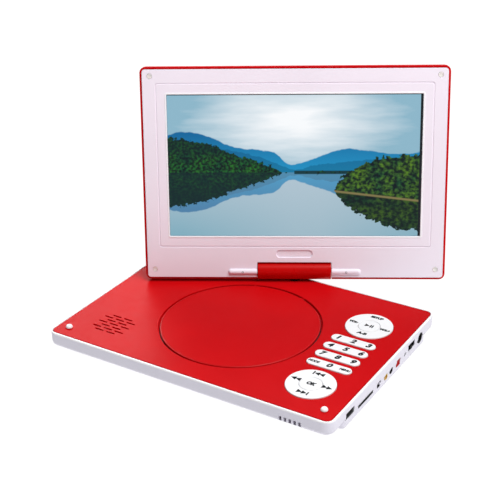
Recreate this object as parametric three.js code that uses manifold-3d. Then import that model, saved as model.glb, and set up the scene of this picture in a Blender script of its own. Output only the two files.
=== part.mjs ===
// A portable DVD player: a flat player body with a round disc lid and a keypad, and a wide
// screen on a neck that swivels and tilts.
// Millimetres, +Z up, +X towards the keypad side, +Y towards the screen hinge.
// The origin is the centre of the player body, on the flat underside of its hull.

import * as THREE from "three";
import { mergeVertices } from "three/addons/utils/BufferGeometryUtils.js";
import Module from "manifold-3d";

const wasm = await Module();
wasm.setup();

// ---------------------------------------------------------------- driving dimensions

const gap = 0.3; // between fixed neighbours
const playerTop = 19; // the flat top face, above the underside of the hull
const wall = 2.2; // moulded walls of the player body

const tub = { width: 262, depth: 185, corner: 8, bottom: 6, bottomFillet: 4, lipRound: 1 };
const hull = { left: -118, right: 130.4, front: -71, back: 74, corner: 4, edge: 2 };
const cover = { width: 258.6, depth: 181.2, corner: 5, thickness: 2.2, edge: 0.6 };
const coverBottom = playerTop - cover.thickness;

const foot = { radius: 6, drop: 2.2, recess: 0.8, edge: 0.8, left: -108, right: 119, front: -62, back: 60 };
const screwWell = { radius: 2.6, depth: 1.2, pilot: 1.2 };

const bay = { x: 0, y: -4, radius: 67.2, skirt: 1.6, skirtBottom: 13.9 };
const lid = { radius: 66.4, thickness: 1.8, chamfer: 0.5 };
const lidPin = { y: 58.5, drop: 0.9, radius: 0.55, inner: 20, outer: 27.3, clearance: 0.15 };
const tray = { inner: 61.5, wall: 1.5, flange: 68.8, floor: 8.5, rim: 13.5, hubHole: 15, slotBack: -10 };
const hub = { seat: 12.2, flangeRadius: 13, flange: 1.2, bossRadius: 7.3, bossTop: 15, shaftRadius: 1 };
const hubNeck = { radius: 6, bottom: 9.4, shaftBottom: 4.5 };
const motor = { radius: 11, bottom: 2.6, top: 8.1 };
const sled = { y: -28, halfLength: 6, halfWidth: 18, bottom: 3, top: 8, travel: 33.5 };
const sledHead = { halfWidth: 7, halfLength: 3, top: 10 };
const rod = { x: 15, z: 5.5, radius: 1.5, front: -68.5, back: -14, seatFront: -68, seatHalf: 2.5 };
const screw = { x: 23, radius: 1.5, front: -68, back: -18.8, nutReach: 3.4 };
const sledMotor = { radius: 2.7, back: -6 };
const lens = { bottom: 10.3, radius: 2.5, shoulder: 10.9, topRadius: 2.2, top: 11.2 };
const claw = { inner: 4.2, halfWidth: 0.9, above: 0.4 };
const latch = { halfWidth: 3, front: -70.6, back: -67.6, bottom: 9.8 };

const keypad = { x: 93.8, proud: 0.7, bottom: 14.8, mat: 12, board: 10.2 };
const keyEdge = { strip: 0.5, ring: 0.5, hole: 0.3, button: 0.4, ringGap: 0.35 };
const keyBoard = { left: 72.5, right: 114, front: -76, back: 66, thickness: 1.5 };
const keyMat = { left: 73, right: 113.6, front: -75, back: 65, thickness: 1.4 };
const dome = { height: 1.8, pitch: 13.5, radius: 2, padRadius: 3 };
const strip = { length: 38.5, width: 9.2, firstY: 15.7, pitch: 13.6, count: 4 };
const pad = { radius: 19.6, buttonRadius: 8.8, rearY: 43.9, frontY: -54.1 };

const buffer = { x: 118.8, y: -79, radius: 2.85, height: 2.4, stem: 1.2, brim: 0.9 };
const grille = { x: -89.9, y: -56.9, dash: 8.5, slot: 1.3, pitchX: 11.2, pitchY: 4, rows: 7 };
const speaker = { radius: 17, bottom: 9.9, top: 16.3 };
const batteryDoor = { reach: 1, thickness: 1.9 };
const doorGrip = { count: 5, pitch: 2.4, fromBack: 6, halfLength: 8, halfWidth: 0.6, depth: 0.5 };
const battery = { left: -111, right: -73, front: -49, back: 47, bottom: 2.5, top: 9.5 };

const board = { bottom: 2.6, thickness: 1.6, left: -64, right: 126, back: 64 };
const boardArm = { left: 100, front: -66.5, back: 24 }; // the part beside the disc drive
const portFace = 130.6; // outer faces of the sockets, about flush with the right wall
const portBack = 127.8; // front of the socket bodies, behind the wall
const ports = {
  dc: { y: 62.9, z: 9.4, radius: 4.6 },
  power: { y: 45.7, z: 11.3, halfLength: 6, halfHeight: 2.5 },
  infrared: { y: 34.3, z: 9.1, halfLength: 1.4, halfHeight: 1.4 },
  red: { y: 21.6, z: 8.3, halfLength: 3.2, halfHeight: 3 },
  black: { y: 9.1, z: 7.8, radius: 2.6 },
  yellow: { y: -0.4, z: 7.4, radius: 2.6 },
  audioVideo: { y: -12.6, z: 7.6, halfLength: 2.7, halfHeight: 2.4 },
  card: { y: -35, z: 6.9, halfLength: 12.2, halfHeight: 1.3 },
  usb: { y: -61.2, z: 10.1, halfLength: 6.5, halfHeight: 2.8 },
};
const powerNub = { y: 43.7, halfLength: 1.9, halfHeight: 1.6, proud: 1.2 };
const audioVideoNub = { y: -11.8, halfLength: 0.8, halfHeight: 0.8, proud: 1.2 };
const slideSwitch = { back: 120, rimLength: 0.7, rimHeight: 0.6, recess: 1.6, nubSink: 1.3 };
const jackBody = { depth: 11, below: 2.9, backWall: 1.5 };
const dcBody = { half: 4.4, bore: 2.75, pinRadius: 0.9, pinSink: 1.5 };
const audioBody = { half: 3.2, bore: 1.8 };
const squareBody = { back: 117, half: 3.6, rim: 0.6, shutterSink: 0.4 };
const cardBody = { back: 105, half: 13.2, below: 2, above: 1.8 };
const cardSlot = { back: 107, inset: 0.5, halfHeight: 0.9 };
const usbBody = { back: 117, skin: 0.4, backWall: 1 };
const usbTongue = { half: 5.6, low: 0.2, high: 1.9, root: 0.5, sink: 1.2 };
const vent = { firstX: 89.4, pitch: 4.05, count: 5, width: 2.3, bottom: 7.7, top: 11.9 };
const floorVent = { left: 42, right: 66, firstY: -58, pitch: 6, count: 6, halfWidth: 1 };

const neck = { y: 85.8, shaftRadius: 3.2, collarRadius: 5.2, collarTop: 20.4, axisZ: 27.6 };
const stud = { radius: 1.9, top: 26 };
const clip = { radius: 4.2, bottom: 10.8, top: 13.1 };
const bracketPlate = { halfWidth: 18, front: 77.5, back: 89.8, bottom: 13.5 };
const barrel = { halfLength: 32, radius: 8, boreRadius: 2.5, boreDepth: 14 };
const tiltShaft = { radius: 2.2, inner: 18.5, outer: 52 };
const hingeLeaf = { inner: 34.6, sleeve: 3.5, length: 25, back: -3.5, front: -1.9 };
const restSwivel = THREE.MathUtils.degToRad(29.2); // the screen is turned from the body
const restLean = THREE.MathUtils.degToRad(12.2); // and leans back from upright

// The screen half, measured from the tilt axis: x along it, y up the screen, z out of its face.
const screen = { width: 261, bottom: -7.14, top: 177.97, corner: 5, back: -5.8, rim: 3.9, wall: 1.8 };
const shellRound = { back: 4, rim: 0.5 };
const boss = { radius: 3, top: 1.6, pilot: 1 };
const bezel = { face: 5.4, thickness: 1.6, edge: 0.8 };
const picture = { width: 216.4, bottom: 31.87, top: 154.87, face: 4.6, sheet: 1 };
const panel = { halfWidth: 112, bottom: 27.5, top: 159.5 };
const fingerRest = { y: 16, length: 31.4, width: 6.6, depth: 0.7 };
const groove = { y: 93.25, width: 234, height: 141.5, corner: 2, half: 0.4 };
const notch = { halfWidth: barrel.halfLength + 0.4, top: barrel.radius + 0.4 };
const plug = { x: 122, lowY: 2.2, highY: 170.3, radius: 2.15 };
const knuckle = { outer: 57.5, radius: 2.65, sink: 0.4 };

// ---------------------------------------------------------------- shapes

function box(x0, x1, y0, y1, z0, z1) {
  const geometry = new THREE.BoxGeometry(x1 - x0, y1 - y0, z1 - z0);
  return geometry.translate((x0 + x1) / 2, (y0 + y1) / 2, (z0 + z1) / 2);
}

function disc(x, y, radius, z0, z1, sides = 16) {
  const geometry = new THREE.CylinderGeometry(radius, radius, z1 - z0, sides);
  return geometry.rotateX(Math.PI / 2).translate(x, y, (z0 + z1) / 2);
}

function rodAlongX(x0, x1, y, z, radius, sides = 12) {
  const geometry = new THREE.CylinderGeometry(radius, radius, x1 - x0, sides);
  return geometry.rotateZ(Math.PI / 2).translate((x0 + x1) / 2, y, z);
}

function rodAlongY(x, y0, y1, z, radius, sides = 12) {
  const geometry = new THREE.CylinderGeometry(radius, radius, y1 - y0, sides);
  return geometry.translate(x, (y0 + y1) / 2, z);
}

// A turned shape about a vertical line: profile points are [radius, height].
function turned(x, y, profile, sides = 24) {
  const points = profile.map(([radius, height]) => new THREE.Vector2(radius, height));
  return new THREE.LatheGeometry(points, sides).rotateX(Math.PI / 2).translate(x, y, 0);
}

function roundedOutline(width, depth, corner, cornerSteps) {
  const points = [];
  const centres = [[1, 1], [-1, 1], [-1, -1], [1, -1]];
  centres.forEach(([sideX, sideY], quarter) => {
    for (let step = 0; step <= cornerSteps; step += 1) {
      const angle = (quarter + step / cornerSteps) * (Math.PI / 2);
      const x = sideX * (width / 2 - corner) + corner * Math.cos(angle);
      const y = sideY * (depth / 2 - corner) + corner * Math.sin(angle);
      points.push([x, y]);
    }
  });
  return points;
}

// A rounded rectangle stacked through sections of [height, inset], with flat ends.
function roundedStack({ x = 0, y = 0, width, depth, corner, steps = 4 }, sections) {
  const positions = [];
  const indices = [];
  sections.forEach(([z, inset]) => {
    const smallest = 0.05;
    const radius = Math.max(corner - inset, smallest);
    const outline = roundedOutline(width - 2 * inset, depth - 2 * inset, radius, steps);
    outline.forEach(([px, py]) => positions.push(x + px, y + py, z));
  });
  const count = 4 * (steps + 1);
  for (let level = 0; level < sections.length - 1; level += 1) {
    for (let i = 0; i < count; i += 1) {
      const low = level * count;
      const next = (i + 1) % count;
      indices.push(low + i, low + next, low + count + next);
      indices.push(low + i, low + count + next, low + count + i);
    }
  }
  const bottomCentre = sections.length * count;
  const topCentre = bottomCentre + 1;
  const topRing = (sections.length - 1) * count;
  positions.push(x, y, sections[0][0], x, y, sections[sections.length - 1][0]);
  for (let i = 0; i < count; i += 1) {
    const next = (i + 1) % count;
    indices.push(bottomCentre, next, i);
    indices.push(topCentre, topRing + i, topRing + next);
  }
  const geometry = new THREE.BufferGeometry();
  geometry.setAttribute("position", new THREE.Float32BufferAttribute(positions, 3));
  geometry.setIndex(indices);
  return geometry;
}

function roundedSlab(outline, z0, z1) {
  return roundedStack(outline, [[z0, 0], [z1, 0]]);
}

// A quarter-round edge from a flat end: inset falls from the radius to nothing.
function filletSections(endZ, direction, radius, steps) {
  const sections = [];
  for (let step = 0; step <= steps; step += 1) {
    const angle = (step / steps) * (Math.PI / 2);
    const z = endZ + direction * radius * (1 - Math.cos(angle));
    sections.push([z, radius * (1 - Math.sin(angle))]);
  }
  return sections;
}

// ---------------------------------------------------------------- solids

function solid(shape) {
  if (shape instanceof wasm.Manifold) {
    return shape;
  }
  const bare = shape.clone();
  bare.deleteAttribute("normal");
  bare.deleteAttribute("uv");
  const merged = mergeVertices(bare, 1e-4);
  const mesh = new wasm.Mesh({
    numProp: 3,
    vertProperties: Float32Array.from(merged.attributes.position.array),
    triVerts: Uint32Array.from(merged.index.array),
  });
  return new wasm.Manifold(mesh);
}

function join(...shapes) {
  return shapes.map(solid).reduce((whole, shape) => whole.add(shape));
}

function cut(shape, ...tools) {
  return tools.map(solid).reduce((whole, tool) => whole.subtract(tool), solid(shape));
}

function geometryOf(shape) {
  if (!(shape instanceof wasm.Manifold)) {
    return shape;
  }
  const mesh = shape.getMesh();
  const geometry = new THREE.BufferGeometry();
  const positions = Float32Array.from(mesh.vertProperties);
  geometry.setAttribute("position", new THREE.BufferAttribute(positions, 3));
  geometry.setIndex(new THREE.BufferAttribute(Uint32Array.from(mesh.triVerts), 1));
  geometry.computeVertexNormals();
  return geometry;
}

// ---------------------------------------------------------------- materials

function finish(color, roughness, metalness = 0) {
  return { color, roughness, metalness };
}

const whitePlastic = finish(0xf1eef2, 0.35);
const redPlastic = finish(0xcf1f20, 0.32);
const blackPlastic = finish(0x17171a, 0.5);
const greyPlastic = finish(0x4b4b50, 0.5);
const rubber = finish(0x2a2a2c, 0.85);
const silicone = finish(0xdcd9d4, 0.7);
const steel = finish(0xb9bcc0, 0.35, 0.9);
const circuitGreen = finish(0x1f5a35, 0.55);
const batteryWrap = finish(0x2c4d7a, 0.45);
const lensGlass = finish(0x7f9fd0, 0.05);
const panelBack = finish(0x9a9da3, 0.4, 0.6);
const pictureGlass = finish(0x8fb6cb, 0.15);

const player = new THREE.Group();
const swivelGroup = new THREE.Group();
const tiltGroup = new THREE.Group();
swivelGroup.position.set(0, neck.y, neck.axisZ);
swivelGroup.rotation.z = restSwivel;
tiltGroup.rotation.x = Math.PI / 2 - restLean;
swivelGroup.add(tiltGroup);
player.add(swivelGroup);

function place(name, shape, look, group = player) {
  const mesh = new THREE.Mesh(geometryOf(shape), new THREE.MeshStandardMaterial(look));
  mesh.name = name;
  group.add(mesh);
}

// ---------------------------------------------------------------- player body shell

const hullOutline = {
  x: (hull.left + hull.right) / 2,
  y: (hull.front + hull.back) / 2,
  width: hull.right - hull.left,
  depth: hull.back - hull.front,
  corner: hull.corner,
};

function inner(outline, distance) {
  return {
    ...outline,
    width: outline.width - 2 * distance,
    depth: outline.depth - 2 * distance,
    corner: Math.max(outline.corner - distance, 1),
  };
}

const footPlaces = [
  [foot.left, foot.front],
  [foot.right, foot.front],
  [foot.left, foot.back],
  [foot.right, foot.back],
];
const screwPosts = [[-104, -84], [0, -84], [104, -84], [-104, 84], [104, 84]];
const bracketPosts = [[-14, 83], [14, 83]];
const post = { radius: 3.2, bracketRadius: 2.6, bracketTop: 13.2 };
const trayPost = { radius: 2.6, distance: 66.4, top: 11.7 };
const trayPosts = [45, 135, 225, 315].map((degrees) => {
  const angle = THREE.MathUtils.degToRad(degrees);
  return [
    bay.x + trayPost.distance * Math.cos(angle),
    bay.y + trayPost.distance * Math.sin(angle),
  ];
});

function tubOuter() {
  const bottom = filletSections(tub.bottom, 1, tub.bottomFillet, 3);
  const lip = filletSections(playerTop - 0.1, -1, tub.lipRound, 2).reverse();
  const hullEdge = filletSections(0, 1, hull.edge, 2);
  const hullTop = tub.bottom + tub.bottomFillet;
  return join(
    roundedStack(tub, [...bottom, ...lip]),
    roundedStack(hullOutline, [...hullEdge, [hullTop, 0]]),
  );
}

function portCutouts() {
  const x0 = hull.right - wall - 1;
  const x1 = tub.width / 2 + 1;
  const round = [ports.dc, ports.black, ports.yellow];
  const roundHoles = round.map(({ y, z, radius }) => rodAlongX(x0, x1, y, z, radius + gap, 16));
  const square = [
    ports.power, ports.infrared, ports.red, ports.audioVideo, ports.card, ports.usb,
  ];
  const squareHoles = square.map(({ y, z, halfLength, halfHeight }) => {
    const length = halfLength + gap;
    const height = halfHeight + gap;
    return box(x0, x1, y - length, y + length, z - height, z + height);
  });
  return [...roundHoles, ...squareHoles];
}

function frontVents() {
  const y = -tub.depth / 2;
  return Array.from({ length: vent.count }, (_, i) => {
    const x = vent.firstX + i * vent.pitch;
    return box(x - vent.width / 2, x + vent.width / 2, y - 1, y + wall + 1.5, vent.bottom, vent.top);
  });
}

function undersideVents() {
  const slots = [];
  for (let row = 0; row < floorVent.count; row += 1) {
    const y = floorVent.firstY + row * floorVent.pitch;
    const { left, right, halfWidth } = floorVent;
    slots.push(box(left, right, y - halfWidth, y + halfWidth, -1, wall + 1));
  }
  return slots;
}

function bottomCase() {
  const above = playerTop + 10;
  const cavities = [
    roundedSlab(inner(tub, wall), tub.bottom + wall, above),
    roundedSlab(inner(hullOutline, wall), wall, tub.bottom + wall + 1),
    roundedSlab(inner({ ...cover }, -gap), coverBottom - gap, above),
  ];
  const shell = cut(tubOuter(), ...cavities);
  const upperFloor = tub.bottom + wall - 0.5;
  const posts = screwPosts.map(([x, y]) => disc(x, y, post.radius, upperFloor, coverBottom - gap, 10));
  const brackets = bracketPosts.map(([x, y]) => {
    return disc(x, y, post.bracketRadius, upperFloor, post.bracketTop, 8);
  });
  const hullFloor = wall - 0.5;
  const trayStands = trayPosts.map(([x, y]) => disc(x, y, trayPost.radius, hullFloor, trayPost.top, 8));
  const seatTop = rod.z - rod.radius - gap;
  const seats = [];
  for (const x of [-rod.x, rod.x]) {
    const x0 = x - rod.seatHalf;
    const x1 = x + rod.seatHalf;
    seats.push(box(x0, x1, hull.front + wall - 0.5, rod.seatFront, hullFloor, seatTop));
    seats.push(box(x0, x1, rod.back - 3, rod.back + 2, hullFloor, seatTop));
  }
  const solidCase = join(shell, ...posts, ...brackets, ...trayStands, ...seats);
  const footRecesses = footPlaces.map(([x, y]) => disc(x, y, foot.radius + gap, -1, foot.recess, 20));
  const screwWells = screwPosts.flatMap(([x, y]) => [
    disc(x, y, screwWell.radius, tub.bottom - 1, tub.bottom + screwWell.depth, 10),
    disc(x, y, screwWell.pilot, tub.bottom, coverBottom - 2, 6),
  ]);
  const { reach } = batteryDoor;
  const doorway = box(
    battery.left - reach, battery.right + reach, battery.front - reach, battery.back + reach,
    -1, wall + 0.5,
  );
  return cut(
    solidCase,
    ...footRecesses,
    ...screwWells,
    doorway,
    ...portCutouts(),
    ...frontVents(),
    ...undersideVents(),
  );
}

function stripY(index) {
  return strip.firstY - index * strip.pitch;
}

function pill(x, y, length, width, z0, z1, steps = 5) {
  return roundedSlab({ x, y, width: length, depth: width, corner: width / 2 - 0.01, steps }, z0, z1);
}

// Short slots laid like bricks: rows of two and three by turns.
function grilleSlots() {
  const slots = [];
  for (let row = 0; row < grille.rows; row += 1) {
    const y = grille.y + ((grille.rows - 1) / 2 - row) * grille.pitchY;
    const count = row % 2 === 0 ? 2 : 3;
    for (let i = 0; i < count; i += 1) {
      const x = grille.x + (i - (count - 1) / 2) * grille.pitchX;
      slots.push(pill(x, y, grille.dash, grille.slot, coverBottom - 1, playerTop + 1, 2));
    }
  }
  return slots;
}

function lidPinRod(side, outer, radius) {
  const [x0, x1] = side < 0 ? [-outer, -lidPin.inner] : [lidPin.inner, outer];
  return rodAlongX(x0, x1, lidPin.y, playerTop - lidPin.drop, radius, 8);
}

function topCover() {
  const edge = filletSections(playerTop, -1, cover.edge, 2).reverse();
  const plate = roundedStack(cover, [[coverBottom, 0], ...edge]);
  const skirt = disc(bay.x, bay.y, bay.radius + bay.skirt, bay.skirtBottom, coverBottom + 0.5, 64);
  const z0 = coverBottom - 1;
  const z1 = playerTop + 1;
  const holes = [disc(bay.x, bay.y, bay.radius, bay.skirtBottom - 1, z1, 64)];
  for (let i = 0; i < strip.count; i += 1) {
    holes.push(pill(keypad.x, stripY(i), strip.length + 2 * gap, strip.width + 2 * gap, z0, z1));
  }
  for (const y of [pad.rearY, pad.frontY]) {
    holes.push(disc(keypad.x, y, pad.radius + gap, z0, z1, 32));
  }
  for (const side of [-1, 1]) {
    holes.push(disc(side * buffer.x, buffer.y, buffer.stem + gap, z0, z1, 12));
    holes.push(lidPinRod(side, lidPin.outer + 2 * gap, lidPin.radius + lidPin.clearance));
  }
  holes.push(disc(0, neck.y, neck.shaftRadius + gap, z0, z1));
  return cut(join(plate, skirt), ...holes, ...grilleSlots());
}

place("bottom_case", bottomCase(), whitePlastic);
place("top_cover", topCover(), redPlastic);

footPlaces.forEach(([x, y], i) => {
  const profile = [
    [0, -foot.drop],
    [foot.radius - foot.edge, -foot.drop],
    [foot.radius, -foot.drop + foot.edge],
    [foot.radius, foot.recess - gap],
    [0, foot.recess - gap],
  ];
  place(`rubber_foot_${i + 1}`, turned(x, y, profile, 20), rubber);
});

function batteryCover() {
  const reach = batteryDoor.reach - gap;
  const plate = box(
    battery.left - reach, battery.right + reach, battery.front - reach, battery.back + reach,
    0, batteryDoor.thickness,
  );
  const centre = (battery.left + battery.right) / 2;
  const ribs = [];
  const { count, pitch, fromBack, halfLength, halfWidth, depth } = doorGrip;
  for (let i = 0; i < count; i += 1) {
    const y = battery.back - fromBack - pitch * i;
    ribs.push(box(centre - halfLength, centre + halfLength, y - halfWidth, y + halfWidth, -1, depth));
  }
  return cut(plate, ...ribs);
}

place("battery_cover", batteryCover(), whitePlastic);
place(
  "battery_pack",
  box(battery.left, battery.right, battery.front, battery.back, battery.bottom, battery.top),
  batteryWrap,
);

// ---------------------------------------------------------------- disc drive

function discLid() {
  const bottom = playerTop - lid.thickness;
  const profile = [
    [0, bottom],
    [lid.radius, bottom],
    [lid.radius, playerTop - lid.chamfer],
    [lid.radius - lid.chamfer, playerTop],
    [0, playerTop],
  ];
  const pins = [-1, 1].map((side) => lidPinRod(side, lidPin.outer, lidPin.radius));
  return join(turned(bay.x, bay.y, profile, 64), ...pins);
}

function discTray() {
  const outer = tray.inner + tray.wall;
  const floorTop = tray.floor + tray.wall;
  const profile = [
    [tray.hubHole, tray.floor],
    [outer, tray.floor],
    [outer, tray.rim - tray.wall],
    [tray.flange, tray.rim - tray.wall],
    [tray.flange, tray.rim],
    [tray.inner, tray.rim],
    [tray.inner, floorTop],
    [tray.hubHole, floorTop],
    [tray.hubHole, tray.floor],
  ];
  const slotHalf = sledHead.halfWidth + 1.5;
  const slotFront = sled.y - sled.travel - sledHead.halfLength - 0.9;
  const slot = box(-slotHalf, slotHalf, slotFront, tray.slotBack, tray.floor - 1, floorTop + 1);
  const side = latch.halfWidth + 0.4;
  const latchHole = box(-side, side, latch.front - 0.4, latch.back + gap, tray.rim - 3, tray.rim + 1);
  return cut(turned(bay.x, bay.y, profile, 48), slot, latchHole);
}

function discHub() {
  const flangeBottom = hub.seat - hub.flange;
  const profile = [
    [0, hubNeck.shaftBottom],
    [hub.shaftRadius, hubNeck.shaftBottom],
    [hub.shaftRadius, hubNeck.bottom],
    [hubNeck.radius, hubNeck.bottom],
    [hubNeck.radius, flangeBottom],
    [hub.flangeRadius, flangeBottom],
    [hub.flangeRadius, hub.seat],
    [hub.bossRadius, hub.seat],
    [hub.bossRadius, hub.bossTop - 0.8],
    [hub.bossRadius - 0.9, hub.bossTop],
    [0, hub.bossTop],
  ];
  const claws = [0, 120, 240].map((degrees) => {
    const { inner: start, halfWidth, above } = claw;
    const slotBottom = hub.seat + above;
    const slot = box(start, hub.bossRadius + 1, -halfWidth, halfWidth, slotBottom, hub.bossTop + 1);
    return slot.rotateZ(THREE.MathUtils.degToRad(degrees)).translate(bay.x, bay.y, 0);
  });
  return cut(turned(bay.x, bay.y, profile), ...claws);
}

function pickupSled() {
  const { y, halfLength, halfWidth, bottom, top } = sled;
  const base = box(-halfWidth, halfWidth, y - halfLength, y + halfLength, bottom, top);
  const headFront = y - sledHead.halfLength;
  const headBack = y + sledHead.halfLength;
  const head = box(-sledHead.halfWidth, sledHead.halfWidth, headFront, headBack, top - 1, sledHead.top);
  const nutArm = box(halfWidth - 1, screw.x + screw.nutReach, headFront, headBack, bottom, top);
  const boreFront = y - halfLength - 1;
  const boreBack = y + halfLength + 1;
  const bores = [-rod.x, rod.x].map((x) => rodAlongY(x, boreFront, boreBack, rod.z, rod.radius + gap));
  const nutBore = rodAlongY(screw.x, boreFront, boreBack, rod.z, screw.radius + gap);
  return cut(join(base, head, nutArm), ...bores, nutBore);
}

function pickupLens() {
  const profile = [
    [0, lens.bottom],
    [lens.radius, lens.bottom],
    [lens.topRadius, lens.shoulder],
    [0, lens.top],
  ];
  return turned(0, sled.y, profile, 16);
}

place("disc_lid", discLid(), redPlastic);
place("disc_tray", discTray(), greyPlastic);
place(
  "spindle_motor",
  cut(
    disc(bay.x, bay.y, motor.radius, motor.bottom, motor.top, 20),
    disc(bay.x, bay.y, hub.shaftRadius + gap, motor.bottom + 1, motor.top + 1, 10),
  ),
  steel,
);
place("disc_hub", discHub(), blackPlastic);
place("pickup_sled", pickupSled(), blackPlastic);
place("pickup_lens", pickupLens(), lensGlass);
place("guide_rod_left", rodAlongY(-rod.x, rod.front, rod.back, rod.z, rod.radius), steel);
place("guide_rod_right", rodAlongY(rod.x, rod.front, rod.back, rod.z, rod.radius), steel);
place("lead_screw", rodAlongY(screw.x, screw.front, screw.back, rod.z, screw.radius), steel);
place("sled_motor", rodAlongY(screw.x, screw.back + gap, sledMotor.back, rod.z, sledMotor.radius), steel);
place(
  "latch_plunger",
  box(
    -latch.halfWidth, latch.halfWidth, latch.front, latch.back,
    latch.bottom, playerTop - lid.thickness - gap,
  ),
  blackPlastic,
);

// ---------------------------------------------------------------- boards and speaker

function mainBoard() {
  const z0 = board.bottom;
  const z1 = board.bottom + board.thickness;
  const sheet = join(
    box(board.left, board.right, boardArm.back, board.back, z0, z1),
    box(boardArm.left, board.right, boardArm.front, boardArm.back + 1, z0, z1),
  );
  const holes = trayPosts.map(([x, y]) => disc(x, y, trayPost.radius + gap, z0 - 1, z1 + 1, 10));
  return cut(sheet, ...holes);
}

function keypadMat() {
  const { left, right, front, back, thickness } = keyMat;
  const sheet = box(left, right, front, back, keypad.mat, keypad.mat + thickness);
  const domes = [];
  const domeTop = keypad.mat + dome.height;
  for (let row = 0; row < strip.count; row += 1) {
    for (const x of [-dome.pitch, 0, dome.pitch]) {
      domes.push(disc(keypad.x + x, stripY(row), dome.radius, keypad.mat + 1, domeTop, 6));
    }
  }
  for (const y of [pad.rearY, pad.frontY]) {
    domes.push(disc(keypad.x, y, dome.padRadius, keypad.mat + 1, domeTop, 8));
  }
  return join(sheet, ...domes);
}

function speakerFrame() {
  const { radius, bottom, top } = speaker;
  const profile = [
    [0, bottom],
    [9, bottom],
    [9, bottom + 2.3],
    [radius - 1.5, top - 1.8],
    [radius, top - 1.8],
    [radius, top],
    [radius - 1.6, top],
    [radius - 1.6, top - 0.7],
    [0, top - 0.7],
  ];
  return turned(grille.x, grille.y, profile, 20);
}

function speakerCone() {
  const { radius, top } = speaker;
  const profile = [
    [0, top - 0.4],
    [radius - 2, top - 0.4],
    [radius - 2, top - 0.1],
    [radius - 3.5, top],
    [radius - 5, top - 0.15],
    [5, top - 0.25],
    [3, top + 0.1],
    [0, top + 0.2],
  ];
  return turned(grille.x, grille.y, profile, 20);
}

place("main_board", mainBoard(), circuitGreen);
place(
  "keypad_board",
  box(
    keyBoard.left, keyBoard.right, keyBoard.front, keyBoard.back,
    keypad.board, keypad.board + keyBoard.thickness,
  ),
  circuitGreen,
);
place("keypad_mat", keypadMat(), silicone);
place("speaker_frame", speakerFrame(), steel);
place("speaker_cone", speakerCone(), blackPlastic);

// ---------------------------------------------------------------- keys

const keyTop = playerTop + keypad.proud;

for (let i = 0; i < strip.count; i += 1) {
  const outline = {
    x: keypad.x,
    y: stripY(i),
    width: strip.length,
    depth: strip.width,
    corner: strip.width / 2 - 0.01,
    steps: 5,
  };
  const sections = [[keypad.bottom, 0], ...filletSections(keyTop, -1, keyEdge.strip, 2).reverse()];
  place(`number_strip_${i + 1}`, roundedStack(outline, sections), whitePlastic);
}

function padRing(y) {
  const hole = pad.buttonRadius + keyEdge.ringGap;
  const profile = [
    [hole, keypad.bottom],
    [pad.radius, keypad.bottom],
    [pad.radius, keyTop - keyEdge.ring],
    [pad.radius - keyEdge.ring, keyTop],
    [hole + keyEdge.hole, keyTop],
    [hole, keyTop - keyEdge.hole],
    [hole, keypad.bottom],
  ];
  return turned(keypad.x, y, profile, 32);
}

function padButton(y) {
  const profile = [
    [0, keypad.bottom],
    [pad.buttonRadius, keypad.bottom],
    [pad.buttonRadius, keyTop - keyEdge.button],
    [pad.buttonRadius - keyEdge.button, keyTop],
    [0, keyTop],
  ];
  return turned(keypad.x, y, profile);
}

place("rear_pad_ring", padRing(pad.rearY), whitePlastic);
place("rear_pad_button", padButton(pad.rearY), whitePlastic);
place("front_pad_ring", padRing(pad.frontY), whitePlastic);
place("front_pad_button", padButton(pad.frontY), whitePlastic);

function bufferPeg(x) {
  const profile = [
    [0, coverBottom],
    [buffer.stem, coverBottom],
    [buffer.stem, playerTop + gap],
    [buffer.radius, playerTop + gap],
    [buffer.radius, playerTop + buffer.brim],
    [buffer.radius * 0.8, playerTop + buffer.height - 0.5],
    [buffer.radius * 0.4, playerTop + buffer.height],
    [0, playerTop + buffer.height],
  ];
  return turned(x, buffer.y, profile, 14);
}

place("buffer_left", bufferPeg(-buffer.x), whitePlastic);
place("buffer_right", bufferPeg(buffer.x), whitePlastic);

// ---------------------------------------------------------------- sockets and switches

function jack({ y, z, radius }, { half, bore }) {
  const bodyBack = portBack - jackBody.depth;
  const body = box(bodyBack, portBack, y - half, y + half, z - jackBody.below, z + half);
  const nose = rodAlongX(portBack - 1, portFace, y, z, radius, 16);
  const hole = rodAlongX(bodyBack + jackBody.backWall, portFace + 1, y, z, bore);
  return cut(join(body, nose), hole);
}

function dcJack() {
  const { y, z } = ports.dc;
  const pinBack = portBack - jackBody.depth + 1;
  const pin = rodAlongX(pinBack, portFace - dcBody.pinSink, y, z, dcBody.pinRadius, 8);
  return join(jack(ports.dc, dcBody), pin);
}

function slideSwitchBody({ y, z, halfLength, halfHeight }) {
  const { back, rimLength, rimHeight, recess } = slideSwitch;
  const body = box(back, portFace, y - halfLength, y + halfLength, z - halfHeight, z + halfHeight);
  const length = halfLength - rimLength;
  const height = halfHeight - rimHeight;
  const x0 = portFace - recess;
  return cut(body, box(x0, portFace + 1, y - length, y + length, z - height, z + height));
}

function slideSwitchNub({ z }, { y, halfLength, halfHeight, proud }) {
  const x0 = portFace - slideSwitch.nubSink;
  const x1 = portFace + proud;
  return box(x0, x1, y - halfLength, y + halfLength, z - halfHeight, z + halfHeight);
}

// A square socket closed by its own shutter, behind a small step.
function shutteredSocket({ y, z, halfLength, halfHeight }) {
  const { back, half, rim, shutterSink } = squareBody;
  const body = box(back, portBack, y - half, y + half, z - halfHeight, z + half);
  const nose = box(
    portBack - 1, portFace, y - halfLength, y + halfLength, z - halfHeight, z + halfHeight,
  );
  const shutter = box(
    portFace - shutterSink, portFace + 1,
    y - halfLength + rim, y + halfLength - rim,
    z - halfHeight + rim, z + halfHeight - rim,
  );
  return cut(join(body, nose), shutter);
}

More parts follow.
